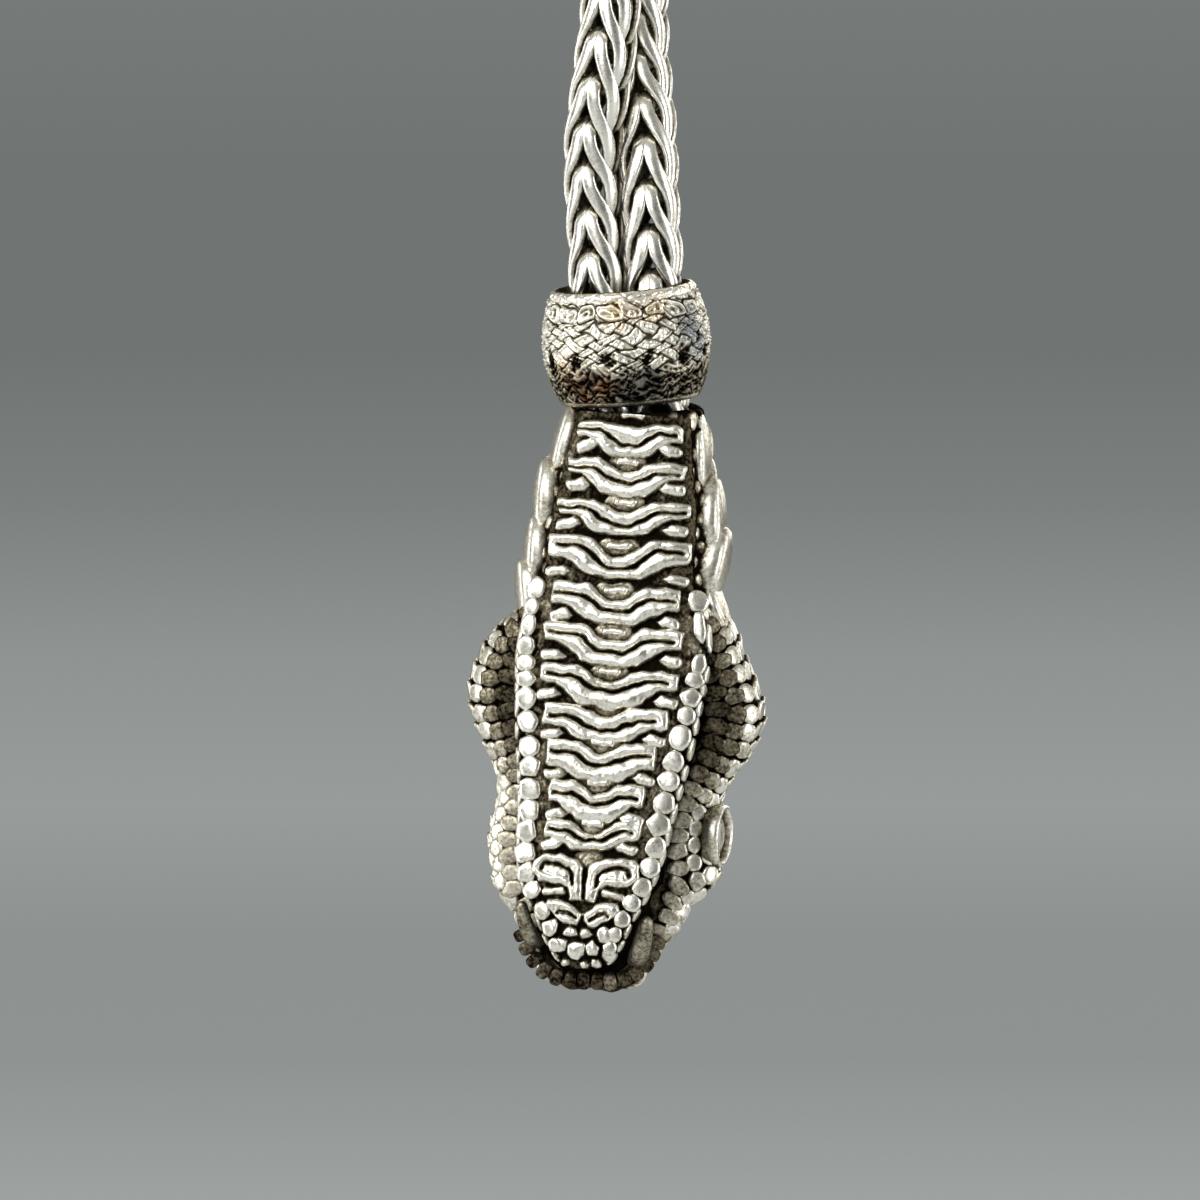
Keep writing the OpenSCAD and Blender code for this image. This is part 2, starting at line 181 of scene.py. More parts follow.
def capped_faces(rows, columns, inside_out=False):
    """Faces of a tube closed by two more points: the first for its last row, the second for its first."""
    total = rows * columns
    faces = grid_faces(rows, columns)
    faces += [[total - columns + k, total - columns + (k + 1) % columns, total] for k in range(columns)]
    faces += [[(k + 1) % columns, k, total + 1] for k in range(columns)]
    return [face[::-1] for face in faces] if inside_out else faces


def linear(hex_colour):
    """An sRGB hex colour as the linear colour that Blender's sockets take."""
    parts = [int(hex_colour[i:i + 2], 16) / 255 for i in (1, 3, 5)]
    return tuple(p / 12.92 if p <= 0.04045 else ((p + 0.055) / 1.055) ** 2.4 for p in parts) + (1.0,)


def add(tree, kind, inputs=None, **settings):
    """Adds a node, sets its settings, and links or fills its inputs."""
    made = tree.nodes.new("ShaderNode" + kind)
    for name, value in settings.items():
        setattr(made, name, value)
    for socket, value in (inputs or {}).items():
        if isinstance(value, bpy.types.NodeSocket):
            tree.links.new(value, made.inputs[socket])
        else:
            made.inputs[socket].default_value = value
    return made


def noise(tree, place, size_mm, detail, rough):
    """Cloudy noise whose clouds are about this many millimetres across."""
    return add(tree, "TexNoise", {"Vector": place, "Scale": 1 / (size_mm * MM), "Detail": detail,
                                  "Roughness": rough}).outputs["Fac"]


def remap(tree, value, low, high, to_low=0.0, to_high=1.0):
    """A value moved from one range of numbers to another."""
    return add(tree, "MapRange", {"Value": value, "From Min": low, "From Max": high,
                                  "To Min": to_low, "To Max": to_high}).outputs["Result"]


def combined(tree, operation, first, second, clamped=False):
    """Two values added, multiplied or compared."""
    return add(tree, "Math", {0: first, 1: second}, operation=operation, use_clamp=clamped).outputs[0]


def colour_stops(ramp, stops):
    """Gives a Color Ramp its stops as [position, hex colour]."""
    elements = ramp.color_ramp.elements
    while len(elements) > 1:
        elements.remove(elements[-1])
    elements[0].position, elements[0].color = stops[0][0], linear(stops[0][1])
    for position, colour in stops[1:]:
        elements.new(position).color = linear(colour)
    return ramp


def silver(name, bright, worn, dull, dark, hollow_mm, grain_mm, grain_mm_deep, shine=0.2, speckled=0.0):
    """Sterling silver with its hollows oxidised brown-black and its tops rubbed bright. The mark "oxide"
    says how hollow each point is and in places carries painted shade; the space left around it darkens it
    further."""
    material = bpy.data.materials.new(name)
    material.use_nodes = True
    tree = material.node_tree
    tree.nodes.clear()
    place = add(tree, "TexCoord").outputs["Object"]
    mark = add(tree, "Attribute", attribute_name="oxide_and_shade").outputs["Fac"]
    open_share = add(tree, "AmbientOcclusion", {"Distance": hollow_mm * MM}, samples=8, only_local=False)
    shut = remap(tree, open_share.outputs["AO"], 0.62, 0.1)
    # Tarnish in patches about 2 mm across, and a finer mottling an eighth of that
    mottle = remap(tree, noise(tree, place, 2.0, 4.0, 0.6), 0.3, 0.75, -0.14, 0.22)
    speckle = remap(tree, noise(tree, place, 0.26, 4.0, 0.65), 0.42, 0.75, -0.05, speckled)
    depth = combined(tree, "MAXIMUM", mark, shut)
    tarnish = combined(tree, "ADD", depth, combined(tree, "ADD", mottle, speckle), clamped=True)
    colour = colour_stops(add(tree, "ValToRGB", {"Fac": tarnish}),
                          [[0.08, bright], [0.36, worn], [0.66, dull], [1.0, dark]])
    # Casting grain and fine rubbing marks
    grain = noise(tree, place, grain_mm, 3.0, 0.65)
    roughness = combined(tree, "ADD", remap(tree, tarnish, 0.0, 1.0, shine, 0.62),
                         remap(tree, grain, 0.0, 1.0, -0.06, 0.1))
    bump = add(tree, "Bump", {"Height": grain, "Distance": grain_mm_deep * MM, "Strength": 1.0})
    shader = add(tree, "BsdfPrincipled", {"Base Color": colour.outputs["Color"], "Metallic": 1.0,
                                          "Roughness": roughness, "Normal": bump.outputs["Normal"],
                                          "Specular Tint": colour.outputs["Color"]})
    tree.links.new(shader.outputs[0], add(tree, "OutputMaterial").inputs["Surface"])
    return material


# Drawn wire rubbed bright outside, black between the wires: long clean highlights
woven_silver = silver("woven_sterling_oxidised", "#F8F5EC", "#C2BBA9", "#655D4C", "#120E09",
                      hollow_mm=1.1, grain_mm=0.5, grain_mm_deep=0.012, shine=0.25, speckled=0.3)
for name, side, first_link, twist, phase in STRANDS:
    line = strand_centre_line(side)
    length = distances(line)
    along = np.arange(0, length[-1], LINE_STEP)
    place = np.stack([np.interp(along, length, column) for column in line.T], 1)
    heading = unit(np.gradient(place, axis=0))
    front = unit(np.array([0, -1.0, 0]) + heading * heading[:, 1:2])
    right = np.cross(front, heading)
    turned = np.radians(twist + SWAY_TURN * np.sin(along / SWAY_LENGTH + phase))[:, None]
    front, right = (front * np.cos(turned) + right * np.sin(turned),
                    right * np.cos(turned) - front * np.sin(turned))
    # One closed loop of points: down the front ear on the right, and round through all four quarters
    down = even_points(LINK_QUARTER, LINK_POINTS)
    loop = np.concatenate([down[:-1], (down * [1, 1, -1])[::-1][:-1], (down * [-1, 1, -1])[:-1],
                           (down * [-1, 1, 1])[::-1][:-1]])
    rng = np.random.default_rng(11 + side)
    # The last link is pinched inside the clasp's socket
    tops = np.arange(length[-1] - first_link + 4 * LINK_PITCH, -0.9, -LINK_PITCH)
    tops = tops + rng.uniform(-0.07, 0.07, len(tops))
    spread = rng.uniform(0.96, 1.03, (len(tops), 1))
    lean = rng.uniform(-0.05, 0.05, (len(tops), 1))
    # The links grow thinner where the strand enters the socket
    thin = 1 - 0.12 * smooth((9 - tops) / 7)[:, None]
    spots = tops[:, None] + loop[None, :, 1]
    x = loop[None, :, 0] * spread * thin + lean * np.sin(loop[None, :, 1] / LINK_LONG * np.pi)
    out = loop[None, :, 2] * thin

    def follow(values):
        return np.stack([np.interp(spots, along, column) for column in values.T], -1)

    radial = x[..., None] * follow(right) + out[..., None] * follow(front)
    centre = follow(place) + radial
    run = unit(np.roll(centre, -1, 1) - np.roll(centre, 1, 1))
    radial = unit(radial - run * np.sum(radial * run, -1, keepdims=True))
    flat = np.cross(run, radial)
    angle = full_turn(WIRE_SIDES)
    ring = (bent(np.cos(angle), WIRE_FLATTENED)[:, None] * radial[..., None, :] * WIRE_THICK / 2
            + bent(np.sin(angle), WIRE_FLATTENED)[:, None] * flat[..., None, :] * WIRE_WIDE / 2)
    wires = centre[..., None, :] + ring
    # The side of the wire that faces the strand's core is black, and its outer face is rubbed bright
    oxide_and_shade = np.broadcast_to(0.75 * smooth((0.45 - np.cos(angle)) / 1.1), wires.shape[:-1])
    core = smooth((1.25 - np.hypot(x, out)) / 0.6)[..., None]
    oxide_and_shade = np.maximum(oxide_and_shade, core)
    faces = []
    for link in range(len(tops)):
        faces += grid_faces(len(loop), WIRE_SIDES, closed_rows=True, start=link * len(loop) * WIRE_SIDES)
    strand = mesh_piece("woven_strand_" + name, wires, faces, woven_silver, {"oxide_and_shade": oxide_and_shade})
    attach(strand, "necklace")
    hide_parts("strand_" + name)

# Clasp
# A plain turned sterling barrel behind the neck, with a socket in each end that takes a strand.
# The CAD node is kept, with its edges eased. Polished by hand, so it shows a fine haze of scratches.
plain_silver = silver("turned_sterling_polished", "#EFECE3", "#C9C5B8", "#7A7464", "#2A261C",
                      hollow_mm=0.8, grain_mm=0.25, grain_mm_deep=0.003, shine=0.16)
for name in ("clasp", "cross_pin"):
    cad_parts[name].data.materials.clear()
    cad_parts[name].data.materials.append(plain_silver)
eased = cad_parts["clasp"].modifiers.new("eased_edges", "BEVEL")
eased.width, eased.segments, eased.limit_method, eased.angle_limit = 0.25 * MM, 3, "ANGLE", math.radians(30)

# Barrel bead
# A cast sterling barrel that both strands run through. Its wall is covered with a low woven pattern
# of hatched ribbons, with a row of loops under the top rim and dark pits round its waist. Heat and
# oxide have left it gold and bronze in places, and bluish black low down in front.
BEAD_D, BEAD_H, BEAD_BORE, BEAD_Z = 12.0, 8.2, 9.0, -190.85
BEAD_TIP, BEAD_ROLL = 7.0, 3.5
BEAD_WAIST, BEAD_CURVE = -0.2, math.radians(62)
TOP_RIM, LOW_RIM = 0.3, 0.18
BEAD_RELIEF = 0.2
RIBBON_ANGLE, RIBBON_WIDE = math.radians(28), 0.62
RIBBONS_ROUND, HATCHES_ROUND, PITS_ROUND, LOOPS_ROUND, WAVES_ROUND = 20, 90, 13, 20, 30
# Heights as shares of the relief
RIBBON_FLAT, RIBBON_EDGE, RIBBON_RUNG = 0.26, 0.74, 0.55
LOOP_FLAT, LOOP_LINE, LOOP_HOOK = 0.14, 0.9, 0.75
PIT_LIP, PIT_DEEP = 0.25, 0.42
WAVE_ROW = 0.6
# Places above the bead's middle
WAVES_TOP, PITS_UP = -1.0, -0.62
LOOPS_UP, LOOPS_FROM, TOP_RIM_FROM, LOW_RIM_FROM = 2.72, 1.9, 3.42, -3.66
# Heat stains on it. [strength, angle from the front towards the right, height above its middle, reach]
STAINS = {"blue": [[1, 12, -2.6, 2.4], [1, 56, 1.6, 1.9], [0.8, 66, -0.6, 2.0], [0.6, -140, -1, 3]],
          "gold": [[0.7, 30, 2.9, 1.6], [0.75, -2, 2.4, 1.6], [0.8, -42, -1.2, 2.2], [0.6, 150, 1, 3]],
          "bronze": [[1, -34, -3.0, 1.8], [0.8, -10, -2.2, 1.3], [0.6, 120, -2, 2]]}
# [stain, its colour, how much of it barely shows, how much shows fully]
TINTS = [["blue", "#76808F", 0.175, 0.6], ["gold", "#EECB90", 0.15, 0.6], ["bronze", "#B4763F", 0.15, 0.56]]
BEAD_AROUND, BEAD_UP = 600, 140


def ripple(x, y, wave, seed, terms=7):
    """A smooth random wave of about -1 to 1 with this wavelength."""
    rng = np.random.default_rng(seed)
    total = 0
    for _ in range(terms):
        turn, k, start = rng.uniform(0, 6.28), 6.28 / (wave * rng.uniform(0.7, 1.5)), rng.uniform(0, 6.28)
        total = total + np.sin(k * (x * math.cos(turn) + y * math.sin(turn)) + start)
    return total / terms ** 0.5


def rounded_box(x, y, half_x, half_y, corner):
    """How far a point lies outside a box with rounded corners, or inside it below zero."""
    qx, qy = np.abs(x) - half_x + corner, np.abs(y) - half_y + corner
    return np.hypot(np.maximum(qx, 0), np.maximum(qy, 0)) + np.minimum(np.maximum(qx, qy), 0) - corner


share = np.linspace(-1, 1, BEAD_UP)
arc = np.abs(share) * BEAD_CURVE
rim = np.where(share > 0, TOP_RIM, LOW_RIM)
reach = np.where(share > 0, BEAD_H / 2 - BEAD_WAIST, BEAD_H / 2 + BEAD_WAIST)
bulge = (BEAD_D / 2 - BEAD_RELIEF - BEAD_BORE / 2 - rim) / (1 - math.cos(BEAD_CURVE))
wall_r = BEAD_D / 2 - BEAD_RELIEF - bulge * (1 - np.cos(arc))
wall_z = BEAD_WAIST + np.sign(share) * reach * np.sin(arc) / math.sin(BEAD_CURVE)
wall_out = unit(np.stack([np.gradient(wall_z), -np.gradient(wall_r)], 1))
turn = full_turn(BEAD_AROUND)
around, up = np.meshgrid((turn + 0.1) * BEAD_D / 2, wall_z)
girth = np.pi * BEAD_D
# The pattern wanders a little, as hand-cut wax does, and closes round the bead
wander = np.sin(3 * around * 2 * np.pi / girth + 1.3 * up) + np.sin(7 * around * 2 * np.pi / girth - 1.9 * up)
px = around + 0.16 * wander + 0.10 * ripple(around, up, 2.1, 61)
pz = up + 0.10 * np.roll(wander, 41, 1) + 0.10 * ripple(around, up, 1.9, 62)
spacing = girth / RIBBONS_ROUND * math.sin(RIBBON_ANGLE)
ribbons = []
for sign in (1, -1):
    across = px * math.sin(RIBBON_ANGLE) + sign * pz * math.cos(RIBBON_ANGLE)
    index = np.round(across / spacing)
    run = px * math.cos(RIBBON_ANGLE) - sign * pz * math.sin(RIBBON_ANGLE)
    ribbons.append((across - index * spacing, index, run))
hatch_pitch = girth * math.cos(RIBBON_ANGLE) / HATCHES_ROUND
height, outlines = np.zeros_like(px), np.zeros_like(px)
for which in (0, 1):
    off, index, run = ribbons[which]
    other_off, other_index, _ = ribbons[1 - which]
    band = 1 - smooth((np.abs(off) - RIBBON_WIDE / 2 + 0.02) / 0.1)
    edges = np.exp(-((np.abs(off) - RIBBON_WIDE / 2 + 0.1) / 0.07) ** 2)
    rungs = (0.5 + 0.5 * np.cos(2 * np.pi * run / hatch_pitch)) ** 2 * (np.abs(off) < RIBBON_WIDE / 2 - 0.1)
    below = (index + other_index) % 2 == which
    under = below * (1 - smooth((np.abs(other_off) - RIBBON_WIDE / 2 + 0.02) / 0.2))
    level = band * (RIBBON_FLAT + RIBBON_EDGE * edges + RIBBON_RUNG * rungs) * (1 - 0.35 * under)
    height = np.maximum(height, level)
    # A thin dark line beside each ribbon where it passes over another
    outlines = np.maximum(outlines, ~below * np.exp(-((np.abs(off) - RIBBON_WIDE / 2 - 0.04) / 0.06) ** 2))
# Below the waist the ribbons give way to rows of short waves
swing = 0.3 * np.sin(2 * np.pi * px * WAVES_ROUND / girth + 2 * np.sin(0.5 * px))
waves = 0.5 + 0.5 * np.cos(2 * np.pi * (pz / WAVE_ROW + swing + 0.28 * ripple(px, pz, 1.7, 13)))
waves = 0.15 + 0.85 * waves * (0.6 + 0.5 * ripple(px, 2 * pz, 1.1, 6)).clip(0.1, 1)
lower = smooth((WAVES_TOP - pz + 0.6 * ripple(px, pz, 2.2, 7)) / 0.5)
height = height * (1 - lower) + np.maximum(waves, 0.6 * (height > 0.9)) * lower
outlines = outlines * (1 - lower)
# Dark pits round the waist, each with a raised lip
pit_gap = girth / PITS_ROUND
pit_x = (px + 0.83 + pit_gap / 2) % pit_gap - pit_gap / 2
pit = np.hypot(pit_x * 0.95, (pz - PITS_UP) * 0.9) * (1 + 0.25 * ripple(px, pz, 1.1, 9))
pits = np.exp(-(pit / 0.6) ** 3)
height = height * (1 - 0.55 * pits) + PIT_LIP * np.exp(-((pit - 0.84) / 0.15) ** 2) - PIT_DEEP * pits
# Loops under the top rim, each with a hook inside it, and the plain rims
loop_gap = girth / LOOPS_ROUND
loop_x = (px + loop_gap / 2) % loop_gap - loop_gap / 2
loop_edge = rounded_box(loop_x + 0.35 * (pz - 2.7), pz - LOOPS_UP, 0.92, 0.55, 0.5)
loop_edge = loop_edge + 0.07 * ripple(px, pz, 2.4, 15)
hook = np.exp(-((np.hypot(loop_x + 0.15, (pz - 2.6) * 1.5) - 0.34) / 0.11) ** 2) * (loop_x < 0.25)
loops = LOOP_FLAT + LOOP_LINE * np.exp(-((loop_edge + 0.15) / 0.12) ** 2)
loops = loops + LOOP_HOOK * hook * (loop_edge < -0.26)
in_loop = (pz > LOOPS_FROM) & (loop_edge < 0.1)
height = np.where(in_loop, loops, height)
outlines = np.where(in_loop, np.exp(-((loop_edge - 0.02) / 0.06) ** 2), outlines)
height = np.where(up > TOP_RIM_FROM, 1.2 * (1 - ((up - 3.76) / 0.36) ** 2).clip(0), height)
height = np.where(up < LOW_RIM_FROM, 0.9 * (1 - ((up + 3.86) / 0.24) ** 2).clip(0), height)
# Wear: the lower half is rubbed down and a little pitted
worn = 0.75 + 0.25 * smooth((up + 2.2) / 2.5)
height = height * worn * (1 - 0.4 * outlines) + 0.07 * ripple(px, pz, 0.45, 5)
r = wall_r[:, None] + wall_out[:, :1] * height * BEAD_RELIEF
z = wall_z[:, None] + wall_out[:, 1:] * height * BEAD_RELIEF
bead_points = np.stack([r * np.cos(turn), r * np.sin(turn), z], -1)
# The bore and its two eased edges close the bead
bore = [[BEAD_BORE / 2 + 0.12, BEAD_H / 2 + 0.04], [BEAD_BORE / 2, BEAD_H / 2 - 0.1]]
bore += [[BEAD_BORE / 2, h] for h in np.linspace(2.8, -2.8, 5)]
bore += [[BEAD_BORE / 2, -BEAD_H / 2 + 0.1], [BEAD_BORE / 2 + 0.07, -BEAD_H / 2 - 0.02]]
bore_points = np.array([[[a * math.cos(t), a * math.sin(t), b] for t in turn] for a, b in bore])
shape = np.concatenate([bead_points, bore_points])
oxide_and_shade = (0.88 - 1.8 * height).clip(0.0, 1) + 0.46 * smooth((-0.4 - up) / 1.9)
oxide_and_shade = np.maximum(oxide_and_shade, 0.97 * outlines * (np.abs(up) < TOP_RIM_FROM - 0.02))
oxide_and_shade = np.concatenate([oxide_and_shade, np.full(bore_points.shape[:2], 0.8)])


def stained(angle, high, wide):
    """How much a stain about this place on the bead covers each point."""
    off = ((np.degrees(turn)[None, :] + 90 - angle + 180) % 360 - 180) * BEAD_D / 2 * math.pi / 180
    off_z = np.concatenate([wall_z, np.array(bore)[:, 1]])[:, None] - high
    return np.exp(-(off ** 2 + off_z ** 2) / wide ** 2)


tip, roll = math.radians(BEAD_TIP), math.radians(-BEAD_ROLL)
tip_turn = np.array([[1, 0, 0], [0, math.cos(tip), -math.sin(tip)], [0, math.sin(tip), math.cos(tip)]])
roll_turn = np.array([[math.cos(roll), 0, math.sin(roll)], [0, 1, 0], [-math.sin(roll), 0, math.cos(roll)]])
bead_drift = -0.25 + DRIFT * float(smooth((BEAD_Z - DRIFT_TOP_Z) / (DRIFT_END_Z - DRIFT_TOP_Z)))
shape = shape @ tip_turn.T @ roll_turn.T + [bead_drift, 0, BEAD_Z]
# Cast sterling with a heat patina: bright lines on a dark ground, tinted gold, bronze and blue
patina_silver = silver("cast_sterling_heat_patina", "#FAF6EA", "#C9C1AE", "#635C4E", "#100D0A",
                       hollow_mm=0.4, grain_mm=0.3, grain_mm_deep=0.012, shine=0.26, speckled=0.2)
tree = patina_silver.node_tree
ramp = next(n for n in tree.nodes if n.type == "VALTORGB")
shader = next(n for n in tree.nodes if n.type == "BSDF_PRINCIPLED")
streaks = noise(tree, add(tree, "TexCoord").outputs["Object"], 1.3, 4.0, 0.5)
tinted = ramp.outputs["Color"]
for mark, tint, low, high in TINTS:
    amount = combined(tree, "MULTIPLY", add(tree, "Attribute", attribute_name=mark).outputs["Fac"], streaks)
    tinted = add(tree, "Mix", {0: remap(tree, amount, low, high, 0.0, 0.85), 6: tinted, 7: linear(tint)},
                 data_type="RGBA", blend_type="MULTIPLY").outputs[2]
tree.links.new(tinted, shader.inputs["Base Color"])
marks = {name: sum(strength * stained(*place) for strength, *place in places)
         for name, places in STAINS.items()}
bead = mesh_piece("barrel_bead", shape, grid_faces(len(shape), BEAD_AROUND, closed_rows=True), patina_silver,
                  {"oxide_and_shade": oxide_and_shade, **marks})
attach(bead, "bead")
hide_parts("bead")

# Skull and neck
# The head is one hollow lost-wax casting in sterling. This is its outer skin from the open neck to
# the snout, with the open mouth on the chin side, the lip scales, and the scales of the crown.
HEAD_LEAN, NECK_SHIFT = math.radians(4.2), 0.8
# [s down the head, half width, y of the lip or belly, y of the widest point, y of the crown]
SKULL = np.array([
    [0, 4.6, -4.1, 0, 4.2], [2, 5.0, -4.25, 0, 4.5], [4, 5.4, -4.4, 0, 4.8], [8, 6.15, -4.6, 0, 5.1],
    [12, 6.5, -4.7, 0, 5.5], [14, 7.1, -4.3, -0.1, 5.9], [16, 8.5, -4.0, -0.3, 6.3],
    [18, 9.5, -3.8, -0.4, 6.5],
    [20.2, 10.3, -3.7, -0.4, 6.5], [23.2, 9.5, -3.5, -0.6, 6.2], [25.6, 8.1, -3.3, -0.9, 5.8],
    [27.6, 7.55, -3.2, -1.0, 5.5], [30.4, 7.9, -3.2, -1.2, 5.0], [33, 7.6, -3.3, -1.4, 4.3],
    [35, 6.2, -3.4, -1.5, 3.7], [37, 5.05, -3.4, -1.7, 2.9], [39.2, 3.8, -3.3, -1.9, 1.8],
    [40.4, 2.9, -3.1, -2.0, 0.9], [41, 1.4, -2.8, -2.0, 0.2]])
# [s, how far the casting's middle wanders to one side]
HEAD_MIDDLE = np.array([
    [0, 0.1], [2, 0.0], [4, -0.15], [8, -0.1], [12, -0.2], [14, 0.2], [16.7, -0.2], [20, 0.0], [24, 0.22],
    [27, 0.1], [31, 0.0], [33, 0.15], [34.3, -0.4], [35.8, 0.0], [37.4, -0.25], [38.8, -0.2], [41, -0.1]])
# [s, half width of the mouth, y of the palate]
MOUTH = np.array([
    [0, 2.5, -3.6], [15, 2.5, -3.6], [17, 3.2, -3.6], [20, 6.5, -2.3], [24, 5.9, -1.9], [29, 4.9, -1.8],
    [34, 4.3, -1.9], [37, 3.8, -2.1], [39, 2.9, -2.4], [40, 1.6, -2.6], [41, 0.8, -2.7]])
SKULL_PITCH, SKULL_AROUND, PALATE_ACROSS = 0.16, 220, 54
# How round the corners between scales are, and how far away a scale's neighbours are looked for
SOFT_CORNER, NEAR = 0.09, 4.5
RIM_RISE, RIM_SLOPE, BACK_RISE = 0.3, 0.06, 0.7
SOCKET_HALF_X, SOCKET_HALF_Y, SOCKET_DEEP = 4.24, 2.25, 6.6


def at(table, column, s):
    """A table's column at s, on a smooth curve through its rows."""
    rows, values = table[:, 0], table[:, column]
    slope = np.gradient(values, rows)
    i = np.clip(np.searchsorted(rows, s, side="right") - 1, 0, len(rows) - 2)
    step = rows[i + 1] - rows[i]
    t = (s - rows[i]) / step
    return ((1 + 2 * t) * (1 - t) ** 2 * values[i] + t * (1 - t) ** 2 * step * slope[i]
            + t * t * (3 - 2 * t) * values[i + 1] + t * t * (t - 1) * step * slope[i + 1])


def skull_point(angle, s):
    """A point of the skull at this angle in degrees: -90 is the chin side, 0 the right, 90 the crown."""
    angle, s = np.broadcast_arrays(np.radians(angle), np.asarray(s, float))
    w, mid, chin = at(SKULL, 1, s), at(SKULL, 3, s), np.sin(angle) < 0
    reach = np.where(chin, mid - at(SKULL, 2, s), at(SKULL, 4, s) - mid)
    across = bent(np.cos(angle), 0.7) * chin + bent(np.cos(angle), 0.85) * ~chin
    deep = bent(np.sin(angle), 0.8) * chin + bent(np.sin(angle), 0.9) * ~chin
    return np.stack([at(HEAD_MIDDLE, 1, s) + w * across, mid + reach * deep, -s], -1)


def in_place(points):
    """Points of the head's own frame, moved to where the head hangs."""
    x, y, z = np.moveaxis(np.asarray(points, float), -1, 0)
    cos, sin = math.cos(HEAD_LEAN), math.sin(HEAD_LEAN)
    return np.stack([x * cos + z * sin + NECK_SHIFT, y, z * cos - x * sin - DROP], -1)


def outward(grid):
    """The outward direction at each point of a grid whose rows run down the head."""
    return unit(np.cross(np.gradient(grid, axis=1), -np.gradient(grid, axis=0)))


def dome(inside, edge):
    """A rounded rise from 0 at a scale's edge, steep over this distance and then gentle, to 1."""
    t = np.clip(inside / edge, 0, 1)
    return 0.8 * np.sqrt(t * (2 - t)) + 0.2 * smooth(inside / (3 * edge))


def pebble(u, v, half_u, half_v, seed):
    """How far inside a stone-like scale points lie: five to seven uneven sides with soft corners."""
    rng = np.random.default_rng(seed)
    sides = int(rng.integers(5, 8))
    start, total = rng.uniform(0, 1), 0
    for k in range(sides):
        a = (k + start + rng.uniform(-0.2, 0.2)) * 2 * math.pi / sides
        beyond = u / half_u * math.cos(a) + v / half_v * math.sin(a) - rng.uniform(0.95, 1.05)
        total = total + np.exp(12 * np.minimum(beyond, 50))
    return -np.log(total + 1e-9) / 12 * min(half_u, half_v)


def close_set(grid, centres, sides, reaches, rise, edge, seed):
    """The height of a skin of scales that touch: it falls off to the borders between these centres."""
    rng = np.random.default_rng(seed)
    grown = rng.uniform(0.86, 1.12, len(centres)) * rise
    tip = rng.uniform(-0.12, 0.12, (len(centres), 2))
    height = np.zeros(grid.shape[:2])
    for row in range(len(grid)):
        near = np.nonzero(np.abs(centres[:, 2] - grid[row, :, 2].mean()) < NEAR)[0]
        if len(near) < 5:
            continue
        off = grid[row][:, None, :] - centres[None, near]
        far = np.einsum("ijk,ijk->ij", off, off)
        order = np.argsort(far, axis=1)[:, :5]
        own = near[order[:, 0]]
        nearest = np.take_along_axis(far, order, 1)
        total = 0
        for k in range(1, 5):
            apart = np.linalg.norm(centres[near[order[:, k]]] - centres[own], axis=1)
            from_border = (nearest[:, k] - nearest[:, 0]) / (2 * np.maximum(apart, 0.2))
            total = total + np.exp(-from_border / SOFT_CORNER)
        inside = np.minimum(-SOFT_CORNER * np.log(total + 1e-9), reaches[own] - np.sqrt(nearest[:, 0])) - 0.02
        spot = grid[row] - centres[own]
        u, v = np.einsum("ij,ij->i", spot, sides[own]) / reaches[own], spot[:, 2] / reaches[own]
        top = grown[own] * dome(inside, edge) * (1 + tip[own, 0] * u + (0.14 + tip[own, 1]) * v)
        top = top + 0.05 * np.exp(-(u / 0.25) ** 2) * smooth(inside / edge)
        height[row] = top * (inside > 0)
    return height


def skin_frame(point, angle, s, step=0.25):
    """A place on the skin, its sideways and upward directions along the skin, and its normal."""
    down = unit(point(angle, s + step) - point(angle, s - step))
    side = unit(point(angle + 2, s) - point(angle - 2, s))
    normal = unit(np.cross(down, side))
    return point(angle, s), unit(side - down * (side @ down)), -down, normal


def domed_pad(place, outline, thick, lift_low=0.0, curl=0.0, sunk=0.0, arch=0.0):
    """Points, faces and marks of a domed pad on the skin, from its outline's [sideways, up] points."""
    centre, side, up, normal = place
    outline = np.asarray(outline)
    count, half_l = len(outline), np.abs(outline[:, 1]).max()
    rings = []
    for inset, high in ((0.95, -0.5), (1.0, 0.1), (1.0, 0.45), (0.97, 0.72), (0.87, 0.9),
                        (0.64, 0.98 - sunk), (0.32, 1.0 - sunk)):
        spot = outline * inset
        lift = thick * high + lift_low * (-spot[:, 1] / half_l) * (high > 0) - curl * spot[:, 0] ** 2
        lift = lift - arch * spot[:, 1] ** 2 * (high > 0)
        rings.append(centre + spot[:, :1] * side + spot[:, 1:] * up + lift[:, None] * normal)
    points = np.concatenate(rings + [[centre + (1 - sunk) * thick * normal, centre - 0.5 * thick * normal]])
    marks = np.repeat([1.0, 0.95, 0.68, 0.16, 0.0, 1.6 * sunk, 2 * sunk], count)
    return points, capped_faces(len(rings), count), np.append(marks, [2 * sunk, 0.8])


def stone_outline(half_u, half_v, seed, count=18):
    """An uneven, soft-cornered polygon as [sideways, up] points."""
    ray = circle(count, np.array([half_u, 0.0]), np.array([0.0, half_v]))
    low, high = np.full(count, 0.3), np.full(count, 1.6)
    for _ in range(14):
        middle = (low + high) / 2
        inside = pebble(ray[:, 0] * middle, ray[:, 1] * middle, half_u, half_v, seed) > 0
        low, high = np.where(inside, middle, low), np.where(inside, high, middle)
    return ray * low[:, None]


def join(forms):
    """Several [points, faces, marks] as one."""
    starts = np.cumsum([0] + [len(form[0]) for form in forms])
    faces = [[corner + start for corner in face] for form, start in zip(forms, starts) for face in form[1]]
    return np.concatenate([form[0] for form in forms]), faces, np.concatenate([form[2] for form in forms])


def shade_round(grid, forms):
    """Extra darkness in the ground close round each of these scales: painted shade, and the patina that stays
    there.
    """
    nearest = np.full(grid.shape[:2], 9.0)
    for form in forms:
        nearest = np.minimum(nearest, np.linalg.norm(grid - form[0][-1], axis=-1))
    return 0.25 * smooth((1.15 - nearest) / 0.3)


